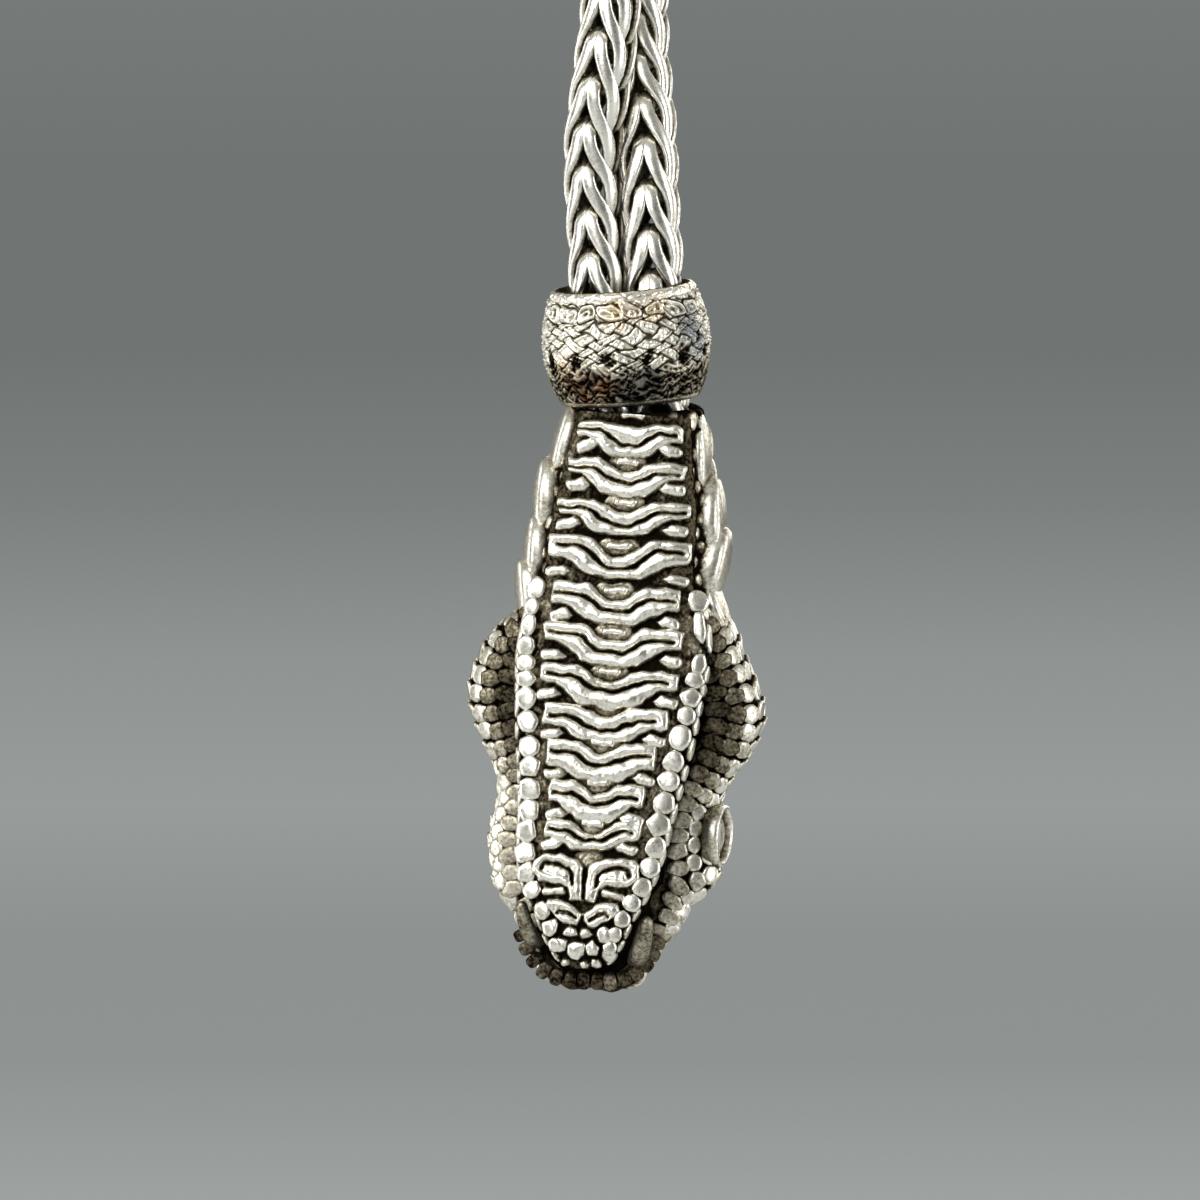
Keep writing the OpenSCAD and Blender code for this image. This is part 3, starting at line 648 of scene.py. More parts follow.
def blurred(values, cells):
    """Values on a grid, smoothed over this many cells each way."""
    for axis in (0, 1):
        for _ in range(2):
            pads = [(cells, cells) if a == axis else (0, 0) for a in (0, 1)]
            total = np.cumsum(np.insert(np.pad(values, pads, mode="edge"), 0, 0, axis=axis), axis=axis)
            size = 2 * cells + 1
            values = (np.take(total, range(size, total.shape[axis]), axis) -
                      np.take(total, range(0, total.shape[axis] - size), axis)) / size
    return values


def stepped_row(angles, s, row, pitch=1.0, count=0):
    """The angles of a row of scales on the skull, this far apart or this many, and their distance.
    Every other row steps half a scale on."""
    travelled = distances(skull_point(angles, s))
    count = count or max(2, int(round(travelled[-1] / pitch)))
    step = travelled[-1] / count
    places = np.arange(count + row % 2) + 0.5 - 0.5 * (row % 2)
    return np.interp(places * step, travelled, angles), step


# The outer skin as rows of equally spaced points, from the right lip over the crown to the left lip
rows_s = np.arange(0, 41.001, SKULL_PITCH)
mouth_half = np.minimum(at(MOUTH, 1, rows_s), 0.8 * at(SKULL, 1, rows_s))
skin_rows, palate_rows = [], []
for s, half in zip(rows_s, mouth_half):
    edge_angle = math.degrees(math.acos(min(1.0, (half / float(at(SKULL, 1, s))) ** (1 / 0.7))))
    contour = skull_point(np.linspace(-edge_angle, 180 + edge_angle, 721), s)
    skin_rows.append(evenly(contour, SKULL_AROUND))
    # The palate: down inside the left lip, across the roof of the mouth and out at the right lip
    lip_y = contour[0][1]
    opened = float(smooth((s - 16.5) / 1.5) * smooth((40.6 - s) / 0.8))
    roof = lip_y + opened * (float(at(MOUTH, 2, s)) - lip_y)
    shape_x = np.array([-1, -0.99, -0.96, -0.88, -0.7, -0.4, 0, 0.4, 0.7, 0.88, 0.96, 0.99, 1.0]) * half
    flat_y = skull_point(-90 + np.degrees(np.arcsin(np.clip(np.sign(shape_x) * np.abs(
        shape_x / float(at(SKULL, 1, s))) ** (1 / 0.7), -1, 1))), s)[:, 1]
    shape_x = shape_x + float(at(HEAD_MIDDLE, 1, s))
    deep_y = np.array([0, 0.3, 0.6, 0.85, 0.97, 1, 1, 1, 0.97, 0.85, 0.6, 0.3, 0]) * (roof - lip_y) + lip_y
    inner = np.stack([shape_x, flat_y + opened * (deep_y - flat_y), np.full(13, -s)], -1)
    inner[0], inner[-1] = contour[-1], contour[0]
    palate_rows.append(evenly(inner, PALATE_ACROSS + 2)[1:-1])
skin, palate = np.array(skin_rows), np.array(palate_rows)
skin_out = outward(skin)
rng = np.random.default_rng(3)
skin_height = np.zeros(skin.shape[:2])
# Lip scales: a dark row along the mouth, then four outside it, of which the outer two are lapped like
# tiles. They are cut a little differently on the two sides.
# [angle behind, angle on the left in front, first s, last s, pitch, width, rise, turned to the front]
LIP_ROWS = [[-51, -39, 15.9, 36.9, 1.15, 1.95, 0.5, 0.35], [-37, -24, 14.7, 39.6, 1.2, 1.45, 0.5, 0.25],
            [-24, -12, 14.1, 39.4, 1.3, 1.5, 0.46, 0.1], [-8, -2, 13.7, 39.2, 1.35, 1.35, 0.4, 0.0],
            [5, 9, 13.1, 39.0, 1.4, 1.35, 0.4, -0.1]]
# The inner rows lie in the shade of the jaw, which is painted on them as extra darkness, and were never
# rubbed.
# [oxide and painted shade in front, more of both behind]
LIP_OXIDE_AND_SHADE = [[0.34, 0.42], [0.14, 0.44], [0.02, 0.14], [0.0, 0.0], [0.0, 0.0]]
# [s, angle of each row from the inner one out] on the right in front
RIGHT_LIP = np.array([
    [20, -51, -37, -24, -6], [22, -49, -36, -22, -4], [26, -46, -31, -17, -2], [28.6, -50, -36, -19, -2],
    [30.2, -54, -40, -20, -2], [32, -53, -38, -19, -2], [33, -49, -32, -15, -2], [34.3, -38, -24, -11, 0],
    [35.4, -32, -21, -10, 0], [41, -30, -18, -8, 0]])
scales = []
seed = 0
for row, (back_angle, front_angle, first_s, last_s, pitch, width, rise, facing) in enumerate(LIP_ROWS):
    for scale_s in np.arange(first_s, last_s, pitch):
        for mirror in (1, -1):
            seed += 1
            angle = back_angle + (front_angle - back_angle) * float(smooth((scale_s - 23) / 4))
            if mirror > 0 and scale_s > 20 and row < 4:
                angle = float(at(RIGHT_LIP, row + 1, scale_s))
            shrink = 1 - 0.14 * float(smooth((scale_s - 22.5) / 4)) - 0.15 * float(smooth((scale_s - 36) / 4))
            centre, side, up, normal = skin_frame(skull_point, angle if mirror > 0 else 180 - angle,
                                                  min(scale_s + rng.uniform(-0.06, 0.06), 40.6))
            normal = unit(normal * (1 - facing) + np.array([0, -1.0, 0]) * facing)
            side = unit(np.cross(up, normal))
            outline = stone_outline(width / 2 * shrink * rng.uniform(0.96, 1.1),
                                    pitch * rng.uniform(0.5, 0.55), seed)
            thick = rise * rng.uniform(0.8, 1.15)
            points, faces, marks = domed_pad((centre, side, up, normal), outline, thick,
                                             lift_low=-0.16 if row > 2 else 0.0, curl=0.06)
            # Oxide and painted shade from the jaw, with more of both towards the neck
            dull, darker_behind = LIP_OXIDE_AND_SHADE[row]
            scales.append((points, faces, marks + dull + darker_behind * float(smooth((27 - scale_s) / 4))))
# Cheek and crown scales, in rows that step half a scale on, smaller towards the snout, and the low
# scales of the neck's two front walls. [first and last angle, first s, last s, rise]
PATCHES = [[13, 167, 13.6, 40.2, 0.46], [-24, -68, 0.6, 14.2, 0.3], [204, 248, 0.6, 14.2, 0.3]]
for first, last, first_s, last_s, rise in PATCHES:
    centres, sides, reaches = [], [], []
    scale_s = first_s
    row = 0
    while scale_s < last_s:
        pitch = (1.1 + 0.7 * float(at(SKULL, 1, scale_s)) / 10.5) * (1 if rise > 0.4 else 0.85)
        for angle in stepped_row(np.linspace(first, last, 309), scale_s, row, pitch)[0]:
            centre, side, _, _ = skin_frame(skull_point, angle + rng.uniform(-0.5, 0.5),
                                            scale_s + rng.uniform(-0.1, 0.1))
            centres.append(centre)
            sides.append(side)
            reaches.append(0.66 * pitch)
        scale_s += 0.86 * pitch
        row += 1
    patch = close_set(skin, np.array(centres), np.array(sides), np.array(reaches), rise,
                      edge=0.24, seed=int(first) + 300)
    skin_height = np.maximum(skin_height, patch)
# Bare ground between the scales of the neck, left rough from the wax
along_skin = np.linspace(0, 36, SKULL_AROUND)[None, :] * np.ones((len(rows_s), 1))
ground = 0.035 * ripple(along_skin, rows_s[:, None], 0.8, 21) * (skin_height < 0.05)
hollow = blurred(skin_height, 3) - skin_height
skin_oxide_and_shade = 0.72 * smooth((0.33 - skin_height) / 0.24) + (hollow / 0.5).clip(-0.1, 0.3)
# Round the lip scales the ground gets painted shade as well as oxide, and towards the neck it is darker in
# patches
skin_oxide_and_shade = skin_oxide_and_shade + (shade_round(skin, scales) + smooth((15 - rows_s) / 2)[:, None]
                           * (0.2 + 0.2 * ripple(along_skin, rows_s[:, None], 1.1, 22))) * (skin_height < 0.3)
# The walls beside the belly were never rubbed
skin_oxide_and_shade = skin_oxide_and_shade + 0.34 * smooth((-0.6 - skin[..., 1]) / 0.8) * smooth((14.6 - rows_s) / 1.4)[:, None]
skin = skin + skin_out * (skin_height + ground)[..., None]
body = np.concatenate([skin, palate], 1)
# The back of the neck's rim, under the bead and the strands, is made black.
skin_oxide_and_shade = np.maximum(skin_oxide_and_shade, smooth((0.5 - rows_s) / 0.4)[:, None] * (skin[..., 1] > 0))
body_oxide_and_shade = np.concatenate([skin_oxide_and_shade, np.full(palate.shape[:2], 1.0)], 1)
# A small notch between the snout's two lobes
body[..., 2] += 0.45 * np.exp(-(body[..., 0] / 0.55) ** 2) * smooth((-body[..., 2] - 38.8) / 1.6)
body[..., 2] -= 0.25 * np.exp(-((np.abs(body[..., 0]) - 1.7) / 0.9) ** 2) * smooth((-body[..., 2] - 39) / 1.5)
# The rim of the neck rises to both sides, and inside it is the socket that both strands enter
rim_x, rim_y = body[0, :, 0], body[0, :, 1]
rise_at = RIM_RISE * (rim_x / 4.7) ** 2 + RIM_SLOPE * rim_x + BACK_RISE * smooth(rim_y / 3.5)
body[:, :, 2] += rise_at[None, :] * smooth(1 + body[:, :1, 2] / 3.0)
hung = in_place(body)
rim_ring = hung[0]
angle = np.arctan2(rim_ring[:, 1] / SOCKET_HALF_Y, (rim_ring[:, 0] - DRIFT) / SOCKET_HALF_X)
mouth_ring = np.stack([DRIFT + SOCKET_HALF_X * bent(np.cos(angle), 0.62),
                       SOCKET_HALF_Y * bent(np.sin(angle), 0.85), rim_ring[:, 2]], -1)
levels = [rim_ring * (1 - inward) + mouth_ring * inward + [0, 0, lift]
          for inward, lift in ((0.38, 0.14), (0.78, 0.1), (1.0, -0.15))]
for z in np.linspace(-0.9, -SOCKET_DEEP, 6):
    levels.append(np.concatenate([mouth_ring[:, :2], np.full((len(mouth_ring), 1), -DROP + z)], 1))
socket = np.array(levels)
socket_oxide = np.ones(socket.shape[:2])
socket_oxide[:2] = 0.85
points = np.concatenate([socket[::-1].reshape(-1, 3), hung.reshape(-1, 3),
                         [hung[-1].mean(0), [DRIFT, 0, -DROP - SOCKET_DEEP]]])
marks = np.concatenate([socket_oxide[::-1].ravel(), body_oxide_and_shade.ravel(), [0.6, 1]])
faces = capped_faces(len(socket) + len(hung), body.shape[1], inside_out=True)
# Cast sterling, oxidised all over and then rubbed back: warm white tops on a brown-black ground
cast_silver = silver("cast_sterling_oxidised", "#F6F3E9", "#BDB6A3", "#6A614F", "#17120C",
                     hollow_mm=1.0, grain_mm=0.35, grain_mm_deep=0.014, shine=0.26, speckled=0.42)
scale_points, scale_faces, scale_marks = join(scales)
points, faces, marks = join([(points, faces, marks), (in_place(scale_points), scale_faces, scale_marks)])
skull = mesh_piece("head_skull", points, faces, cast_silver, {"oxide_and_shade": marks})
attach(skull, "necklace")
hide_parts("snake_head")

# Belly and lower jaw
# Part of the same casting: one bar down the front of the neck that goes on as the lower jaw. It
# carries eleven belly plates, each a double bar with a slit, two rows of round jaw scales, and the
# chin's shields. All of it is low relief, so it is raised on the bar's skin in one fine grid.
# [s, how far the jaw's middle line stands to the right of the head's]
JAW_MIDDLE = np.array([
    [0, 0.25], [3.5, 0.1], [6.5, 0.14], [9.5, 0.02], [12.5, 0.03], [15.2, 0.14], [19, 0.07], [25, 0.0],
    [28, -0.10], [30, -0.20], [33.6, -0.42], [36, -0.34], [39.5, -0.10]])
# [s, half width, y of the chin side, y of the mouth side]
JAW = np.array([
    [0, 4.0, -4.7, -2.6], [4, 4.7, -4.95, -2.6], [8, 5.2, -5.2, -2.6], [12, 5.5, -5.4, -2.6],
    [14.5, 6.3, -5.7, -2.7], [16.8, 6.6, -6.0, -3.3], [20.4, 6.35, -6.4, -4.1], [23.2, 6.05, -6.8, -4.5],
    [26.1, 5.6, -7.2, -4.9], [28.9, 5.2, -7.6, -5.2], [31.1, 4.95, -7.8, -5.4], [33.2, 4.5, -8.0, -5.6],
    [34.6, 3.9, -8.1, -5.7], [36.1, 3.1, -8.2, -5.9], [37.5, 2.5, -8.2, -6.0], [38.6, 1.8, -8.1, -6.1],
    [39.5, 0.9, -7.8, -6.4]])
JAW_PITCH = 0.105
JAW_FRONT, JAW_BACK = 168, 24
PLATE_RISE, SLIT_WIDE, PLATE_EDGE = 0.72, 0.17, 0.25
LEAF_RISE, SCALE_THICK, SIDE_SCALE_THICK, SHIELD_RISE, CHIN_RISE = 0.55, 0.55, 0.4, 0.66, 0.5
VALLEY_SCALES = 520
# The belly plates, from the neck down. Each is an upper and a lower bar joined at the ends, which dip
# in the middle. [s of its top at the ends, half width, tilt in degrees, upper bar, lower bar at the ends,
# dip of its top, of its slit and of its bottom, the slit's reach left and right, its leaves' distance below]
PLATES = [
    [0.68, 3.68, 0.0, 0.50, 0.40, 0.25, 1.05, 1.15, 1.10, 0.90, 1.75],
    [3.32, 4.12, 0.4, 0.66, 0.22, 0.92, 0.87, 1.30, 1.00, 0.93, 1.85],
    [6.23, 4.6, -1.2, 0.58, 0.22, 0.90, 1.05, 1.25, 1.05, 0.94, 1.85],
    [8.90, 4.95, 0.0, 0.62, 0.62, 1.40, 1.40, 1.30, 0.88, 0.90, 2.60],
    [12.29, 4.6, 0.2, 0.66, 0.60, 1.15, 1.07, 1.12, 0.95, 0.93, 2.30],
    [15.16, 4.97, 0.6, 0.66, 0.45, 1.20, 1.15, 1.30, 0.92, 0.87, 2.20],
    [18.11, 4.95, 0.4, 0.70, 0.36, 1.13, 0.85, 1.42, 0.88, 0.85, 2.15],
    [20.87, 4.45, -0.4, 0.82, 0.36, 0.85, 0.80, 0.95, 0.88, 0.82, 2.10],
    [23.45, 3.93, -0.7, 0.74, 0.76, 0.86, 0.76, 0.93, 0.93, 0.90, 2.45],
    [26.35, 3.43, 0.3, 0.76, 0.42, 0.84, 0.62, 1.20, 0.90, 0.86, 2.30],
    [29.10, 3.42, -1.6, 0.54, 0.36, 0.98, 0.66, 0.80, 0.86, 0.84, 1.65]]


def jaw_point(angle, s):
    """A point of the belly strip and jaw, which has a flatter face than the skull."""
    angle, s = np.broadcast_arrays(np.radians(angle), np.asarray(s, float))
    w, face = at(JAW, 1, s), at(JAW, 2, s)
    mid = (face + at(JAW, 3, s)) / 2
    return np.stack([at(JAW_MIDDLE, 1, s) + w * bent(np.cos(angle), 0.5),
                     mid + (mid - face) * bent(np.sin(angle), 0.65), -s], -1)


def outline_distance(x, y, corners, closed=True):
    """How far points lie from a line of corners, below zero inside a closed one."""
    corners = np.asarray(corners, float)
    nearest = np.full(x.shape, 1e9)
    inside = np.zeros(x.shape, bool)
    ends = np.roll(corners, -1, 0) if closed else corners[1:]
    for (ax, ay), (bx, by) in zip(corners, ends):
        t = np.clip(((x - ax) * (bx - ax) + (y - ay) * (by - ay)) / ((bx - ax) ** 2 + (by - ay) ** 2), 0, 1)
        nearest = np.minimum(nearest, np.hypot(x - ax - t * (bx - ax), y - ay - t * (by - ay)))
        inside ^= ((ay > y) != (by > y)) & (x < (bx - ax) * (y - ay) / (by - ay + 1e-12) + ax)
    return np.where(inside & closed, -nearest, nearest)


jaw_s = np.append(np.arange(0, 39.4, JAW_PITCH), 39.5)
section = jaw_point(np.linspace(-190, 10, 2001), 18.0)
travelled = distances(section)
front_angles = np.interp(np.linspace(0, travelled[-1], JAW_FRONT), travelled, np.linspace(-190, 10, 2001))
angles = np.concatenate([front_angles, np.linspace(10, 170, JAW_BACK + 2)[1:-1]])
jaw = jaw_point(angles[None, :], jaw_s[:, None])
jaw_out = outward(jaw)
faces_front = (angles < 5) & (angles > -185)
x = jaw[..., 0] - at(JAW_MIDDLE, 1, jaw_s)[:, None]
s = np.broadcast_to(jaw_s[:, None], x.shape)
# Everything on it wanders a little from true, as carved wax does
wx = x + 0.06 * ripple(x, s, 1.9, 31) + 0.03 * ripple(x, s, 0.7, 32)
ws = s + 0.06 * ripple(x, s, 2.1, 33) + 0.035 * ripple(x, s, 0.75, 34)
jaw_height = np.zeros(x.shape)
rng = np.random.default_rng(8)


def stamp(inside, rise, edge):
    """Raises the jaw's skin by a rounded form."""
    np.maximum(jaw_height, rise * dome(inside, edge) * (inside > 0) * faces_front[None, :], out=jaw_height)


def oval(cx, cs, half_x, half_s, turn=0.0, corner=0.98):
    """How far inside a rounded form about this place each point of the jaw lies."""
    cos, sin = math.cos(math.radians(turn)), math.sin(math.radians(turn))
    dx, ds = wx - cx, ws - cs
    across, along = dx * cos + ds * sin, ds * cos - dx * sin
    return -rounded_box(across, along, half_x, half_s, corner * min(half_x, half_s))


def dip(p, inner, outer):
    """1 in a plate's middle and 0 at its ends, sloping between these two shares of its half width."""
    return 1 - smooth((np.abs(p) - inner) / (outer - inner))


def least(*values):
    """The least of several distances, with the corners between them rounded."""
    return -SOFT_CORNER * np.log(sum(np.exp(-np.clip(value, -2, 3) / SOFT_CORNER) for value in values))


ledges = np.zeros(x.shape)
across_step = np.maximum(np.abs(np.gradient(x, axis=1)), 0.02)
for plate in PLATES:
    top_s, half, tilt, upper, lower, top_dip, slit_dip, low_dip, reach_left, reach_right, leaf_at = plate
    p = wx / half
    level = ws - top_s - wx * math.tan(math.radians(tilt))
    bow = 0.10 * np.abs(p) ** 6
    lines = [top_dip * dip(p, 0.04, 0.50) + bow - 0.12,
             upper + SLIT_WIDE / 2 + slit_dip * dip(p, 0.10, 0.60),
             upper + SLIT_WIDE + lower + low_dip * dip(p, 0.28, 0.84) - bow + 0.16]
    # Distance from each line across the plate, less where the line runs steeply
    from_top, from_slit, from_low = ((level - line) / np.hypot(1, np.minimum(
        np.abs(np.gradient(line, axis=1) / across_step), 1.6)) for line in lines)
    reach = np.where(wx < 0, reach_left, reach_right) * half
    steep = np.exp(-((np.abs(p) - 0.36) / 0.16) ** 2)
    slit = np.hypot(from_slit, np.maximum(np.abs(wx) - reach, 0)) - SLIT_WIDE / 2 * (0.45 + 0.45 * steep)
    bars = np.minimum(least(from_top, -from_low, half - np.abs(wx)) + 0.05, slit)
    stamp(bars, PLATE_RISE * (1 - 0.06 * np.abs(p)), PLATE_EDGE)
    # The oval over the plate's dip, on a low ledge, and the leaf under each end
    ledge = oval(0, top_s + top_dip - 0.74, 1.5, 0.72) * (1 if top_s > 2 else 0)
    stamp(np.minimum(ledge, -from_top - 0.05), 0.24, 0.1)
    ledges = np.maximum(ledges, smooth(np.minimum(ledge, -from_top - 0.05) / 0.14))
    stamp(oval(0.02, top_s + top_dip - 0.88, 0.92, 0.33), 0.6, 0.28)
    for end in (-1, 1):
        leaf_s = top_s + leaf_at + rng.uniform(-0.08, 0.08)
        across_leaf = end * (wx - end * (half - 0.62)) / 0.95
        leaf = oval(end * (half - 0.86), leaf_s, 0.98, 0.46, end * rng.uniform(6, 16), 0.8)
        pointed = 0.40 * (1 + 1.1 * across_leaf) - 0.55 * np.abs(ws - leaf_s) + 0.14
        stamp(np.minimum(leaf, pointed), LEAF_RISE, 0.26)
# The round scales along the jaw's edges, each row from the neck down. [s, width, length]
LEFT_SCALES = [[12.9, 1.3, 1.5], [14.2, 1.0, 1.3], [15.5, 1.1, 1.5], [17.0, 1.3, 1.35], [18.2, 1.35, 1.15],
               [19.3, 1.3, 1.1], [20.7, 1.4, 1.45], [22.3, 1.4, 1.4], [24.1, 1.45, 1.35], [25.5, 1.45, 1.3],
               [27.1, 1.5, 1.5], [28.6, 1.4, 1.4], [30.1, 1.4, 1.4], [31.6, 1.45, 1.35], [33.0, 1.3, 1.2],
               [34.2, 1.25, 1.1], [35.6, 1.1, 1.2], [36.8, 0.9, 1.0], [37.9, 0.9, 0.9]]
RIGHT_SCALES = [[13.0, 1.5, 1.4], [14.8, 0.8, 2.0], [17.4, 1.0, 1.4], [18.5, 1.25, 1.05], [19.8, 1.3, 1.2],
                [21.1, 1.3, 1.2], [22.7, 1.5, 1.7], [24.4, 1.45, 1.4], [25.8, 1.45, 1.35], [27.4, 1.5, 1.4],
                [28.9, 1.5, 1.45], [30.5, 1.45, 1.4], [32.0, 1.45, 1.35], [33.4, 1.3, 1.2], [34.6, 1.3, 1.1],
                [35.8, 1.1, 1.1], [36.9, 0.95, 1.0], [37.9, 0.9, 0.9]]
# [s, how far the row stands from the jaw's middle]
SCALE_ROW = np.array([
    [12.4, 5.75], [16.9, 6.15], [20.3, 5.8], [24.9, 5.05], [28, 4.7], [32.5, 4.3], [33.8, 3.85], [35, 3.2],
    [36, 2.65], [37.1, 2.2], [38.5, 1.7]])
scales = []
for mirror, row in ((-1, LEFT_SCALES), (1, RIGHT_SCALES)):
    for i, (scale_s, width, length) in enumerate(row):
        away, wide = float(at(SCALE_ROW, 1, scale_s)), float(at(JAW, 1, scale_s))
        angle = -math.degrees(math.acos(min(0.97, (away / wide) ** 2)))
        angle = angle if mirror > 0 else -180 - angle
        centre, side, up, normal = skin_frame(jaw_point, angle, scale_s)
        tilted = np.array([mirror * rng.uniform(-0.06, 0.24), -1.0, rng.uniform(-0.12, 0.24)])
        normal = unit(0.3 * normal + tilted)
        up = unit(up - normal * (up @ normal))
        outline = stone_outline(width / 2 * 1.1, length / 2 * 1.16, 1000 + i + 50 * mirror)
        place = (centre, unit(np.cross(up, normal)), up, normal)
        scales.append(domed_pad(place, outline, SCALE_THICK, curl=0.05))
        # The row outside it, on the jaw's side wall
        place = skin_frame(jaw_point, -90 + mirror * 83, scale_s + 0.7)
        outline = stone_outline(0.55, length / 2 * rng.uniform(0.85, 1.05), 2000 + i + 50 * mirror)
        scales.append(domed_pad(place, outline, SIDE_SCALE_THICK, curl=0.05))
# The chin's shields: a raised hooked rim round a rough hollow. [x, s] of the right one's corners
UPPER_SHIELD = [[0.1, 34.7], [0.12, 32.3], [0.7, 31.7], [1.9, 31.5], [3.2, 31.55], [3.75, 32.0], [3.75, 32.9],
                [3.2, 33.5], [1.7, 33.65], [1.15, 33.9], [0.95, 34.7]]
UPPER_HOOK = [[0.85, 33.6], [0.9, 32.9], [1.3, 32.45], [2.2, 32.2], [3.0, 32.2], [3.1, 32.6]]
LOWER_SHIELD = [[0.04, 35.6], [0.85, 34.85], [1.75, 34.65], [2.45, 34.65], [2.6, 35.1], [1.95, 36.0],
                [0.9, 36.55], [0.45, 36.5], [0.12, 36.1]]
LOWER_HOOK = [[0.5, 36.0], [1.05, 35.6], [1.6, 35.5], [1.85, 35.7]]
for mirror in (-1, 1):
    for corners, hook in ((UPPER_SHIELD, UPPER_HOOK), (LOWER_SHIELD, LOWER_HOOK)):
        edge = outline_distance(mirror * wx, ws, corners)
        groove = outline_distance(mirror * wx, ws, hook, closed=False) - 0.06
        rough = 0.16 * smooth((-edge - 0.42) / 0.2) * (1 + 0.25 * ripple(x, s, 0.5, 41))
        stamp(np.minimum(-edge + 0.04, groove + 0.02), SHIELD_RISE - rough, 0.22)
    stamp(oval(mirror * 2.1, 34.15, 0.95, 0.34, mirror * 3), 0.45, 0.26)
# The small scales of the chin's tip. [x, s, half width, half length]
CHIN_SCALES = [[-2.2, 36.65, 0.56, 0.62], [-0.82, 36.95, 0.5, 0.36], [0.22, 36.98, 0.52, 0.38],
               [1.6, 37.0, 0.62, 0.6], [-1.5, 37.85, 0.5, 0.54], [-0.42, 38.15, 0.66, 0.66],
               [0.72, 38.0, 0.56, 0.56], [-1.95, 38.7, 0.36, 0.36], [-1.1, 39.0, 0.36, 0.28],
               [0.1, 39.15, 0.4, 0.26], [0.95, 39.0, 0.42, 0.36], [1.8, 38.3, 0.4, 0.6]]
for i, (cx, cs, half_x, half_s) in enumerate(CHIN_SCALES):
    stamp(pebble(wx - cx, ws - cs, half_x, half_s, 3000 + i), CHIN_RISE, 0.22)
# Small low scales in the valleys beside the plates, left dark
small = np.zeros(x.shape)
for _ in range(VALLEY_SCALES):
    gs = rng.uniform(0.5, 36)
    limit = float(at(JAW, 1, gs)) - 0.9
    gx = rng.choice([-1, 1]) * rng.uniform(limit - 1.5, limit + 0.3)
    size = rng.uniform(0.2, 0.4)
    grain = pebble(wx - gx, ws - gs, size, size * rng.uniform(0.8, 1.5), int(gs * 97))
    np.maximum(small, dome(grain, 0.16) * (grain > 0), out=small)
small = small * (jaw_height < 0.05)
ledges = np.maximum(ledges, smooth(oval(0, 31.7, 1.2, 0.7) / 0.3))
jaw_ground = 0.2 * small + (0.03 * ripple(x, s, 0.6, 51) + 0.02 * ripple(x, s, 0.3, 52)) * (jaw_height < 0.05)
hollow = blurred(jaw_height, 4) - jaw_height
jaw_oxide_and_shade = 0.7 * smooth((0.5 - jaw_height) / 0.32) + (hollow / 0.7).clip(-0.12, 0.32) - 0.2 * small
ledge_oxide = 0.8 - 0.42 * ledges + 1.5 * (hollow - 0.1).clip(0, 0.3)
jaw_oxide_and_shade = np.where((ledges > 0) & (jaw_height < 0.3), ledge_oxide, jaw_oxide_and_shade)
# Round the jaw's scales the ground gets painted shade as well as oxide
jaw_oxide_and_shade = jaw_oxide_and_shade + shade_round(jaw, scales) * (jaw_height < 0.2) * (1 - 0.6 * small)
# The jaw's side walls, out of reach of the polish
behind_face = jaw[..., 1] - at(JAW, 2, jaw_s)[:, None]
jaw_oxide_and_shade = jaw_oxide_and_shade + 0.4 * smooth((behind_face - 0.7) / 0.5) * (jaw_height < 0.2)
# Dents and unevenness left from the wax and the wear
dents = 0.03 * (ripple(x, s, 0.42, 54) - 0.6).clip(0) * (jaw_height > 0.4)
jaw_height = jaw_height * (1 + 0.05 * ripple(x, s, 1.2, 53)) - dents
jaw = jaw + jaw_out * (jaw_height + jaw_ground)[..., None]
points = np.concatenate([jaw.reshape(-1, 3), [jaw[-1].mean(0), jaw[0].mean(0)]])
faces = capped_faces(*jaw.shape[:2], inside_out=True)
points, faces, marks = join([(points, faces, np.append(jaw_oxide_and_shade, [0.3, 0.8]))] + scales)
belly = mesh_piece("head_belly_and_jaw", in_place(points), faces, cast_silver, {"oxide_and_shade": marks})
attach(belly, "necklace")
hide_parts("snake_head")

# Neck leaves
# The large lapped scales round the neck's sides and back, cast with the head. They lap from the head
# towards the strands, so each is a thick petal whose upper end stands off the neck as a bright crescent.
# The rows that show at the front's two edges. [s, length, how far it stands off, how far its end lifts]
RIGHT_EDGE = [[2.3, 6.2, 0.5, -0.05], [6.8, 5.8, 1.15, 0.3], [10.3, 5.8, 1.4, 0.42], [13.2, 4.2, 0.6, 0.1]]
LEFT_EDGE = [[2.0, 5.4, 0.8, 0.12], [6.1, 5.4, 1.1, 0.34], [10.0, 5.2, 0.95, 0.25], [13.0, 4.6, 1.1, 0.34]]
EDGE_LEAF_WIDE, LEAF_CORNERS = 4.3, 28
# The rows behind them, each half a leaf on from the last. [s of the first row, pitch, rows, length]
BACK_FIRST_S, BACK_PITCH, BACK_ROWS, BACK_LENGTH, LEAVES_ROUND = 2.2, 2.75, 5, 4.9, 4


def petal(angle, s, length, wide, thick, lift, seed):
    """One leaf on the neck, with a blunt point at its free upper end."""
    rng = np.random.default_rng(seed)
    centre, side, up, normal = skin_frame(skull_point, angle, max(s, 0.6))
    centre = centre + [0, 0, max(s, 0.6) - s]
    # At the neck's sides the lower end turns a little to the front
    slant = math.radians(14) * math.cos(math.radians(angle))
    side, up = side * math.cos(slant) - up * math.sin(slant), up * math.cos(slant) + side * math.sin(slant)
    turn = full_turn(LEAF_CORNERS)
    half_w = wide / 2 * rng.uniform(0.95, 1.03)
    pointed = 1 - 0.16 * np.abs(np.sin(turn)) ** 3
    outline = np.stack([half_w * bent(np.cos(turn), 0.85) * pointed, length / 2 * np.sin(turn)], 1)
    points, faces, marks = domed_pad((centre, side, up, normal), outline, thick,
                                     lift_low=-lift, curl=0.06, sunk=0.04, arch=0.05)
    # Its edge stands out, and at the neck's sides it is rubbed as bright as its face
    rubbed = [0.3, 0.05] if length > BACK_LENGTH or s > 12.8 else [0.7, 0.26]
    marks[LEAF_CORNERS:3 * LEAF_CORNERS] = np.repeat(rubbed, LEAF_CORNERS)
    return points, faces, marks


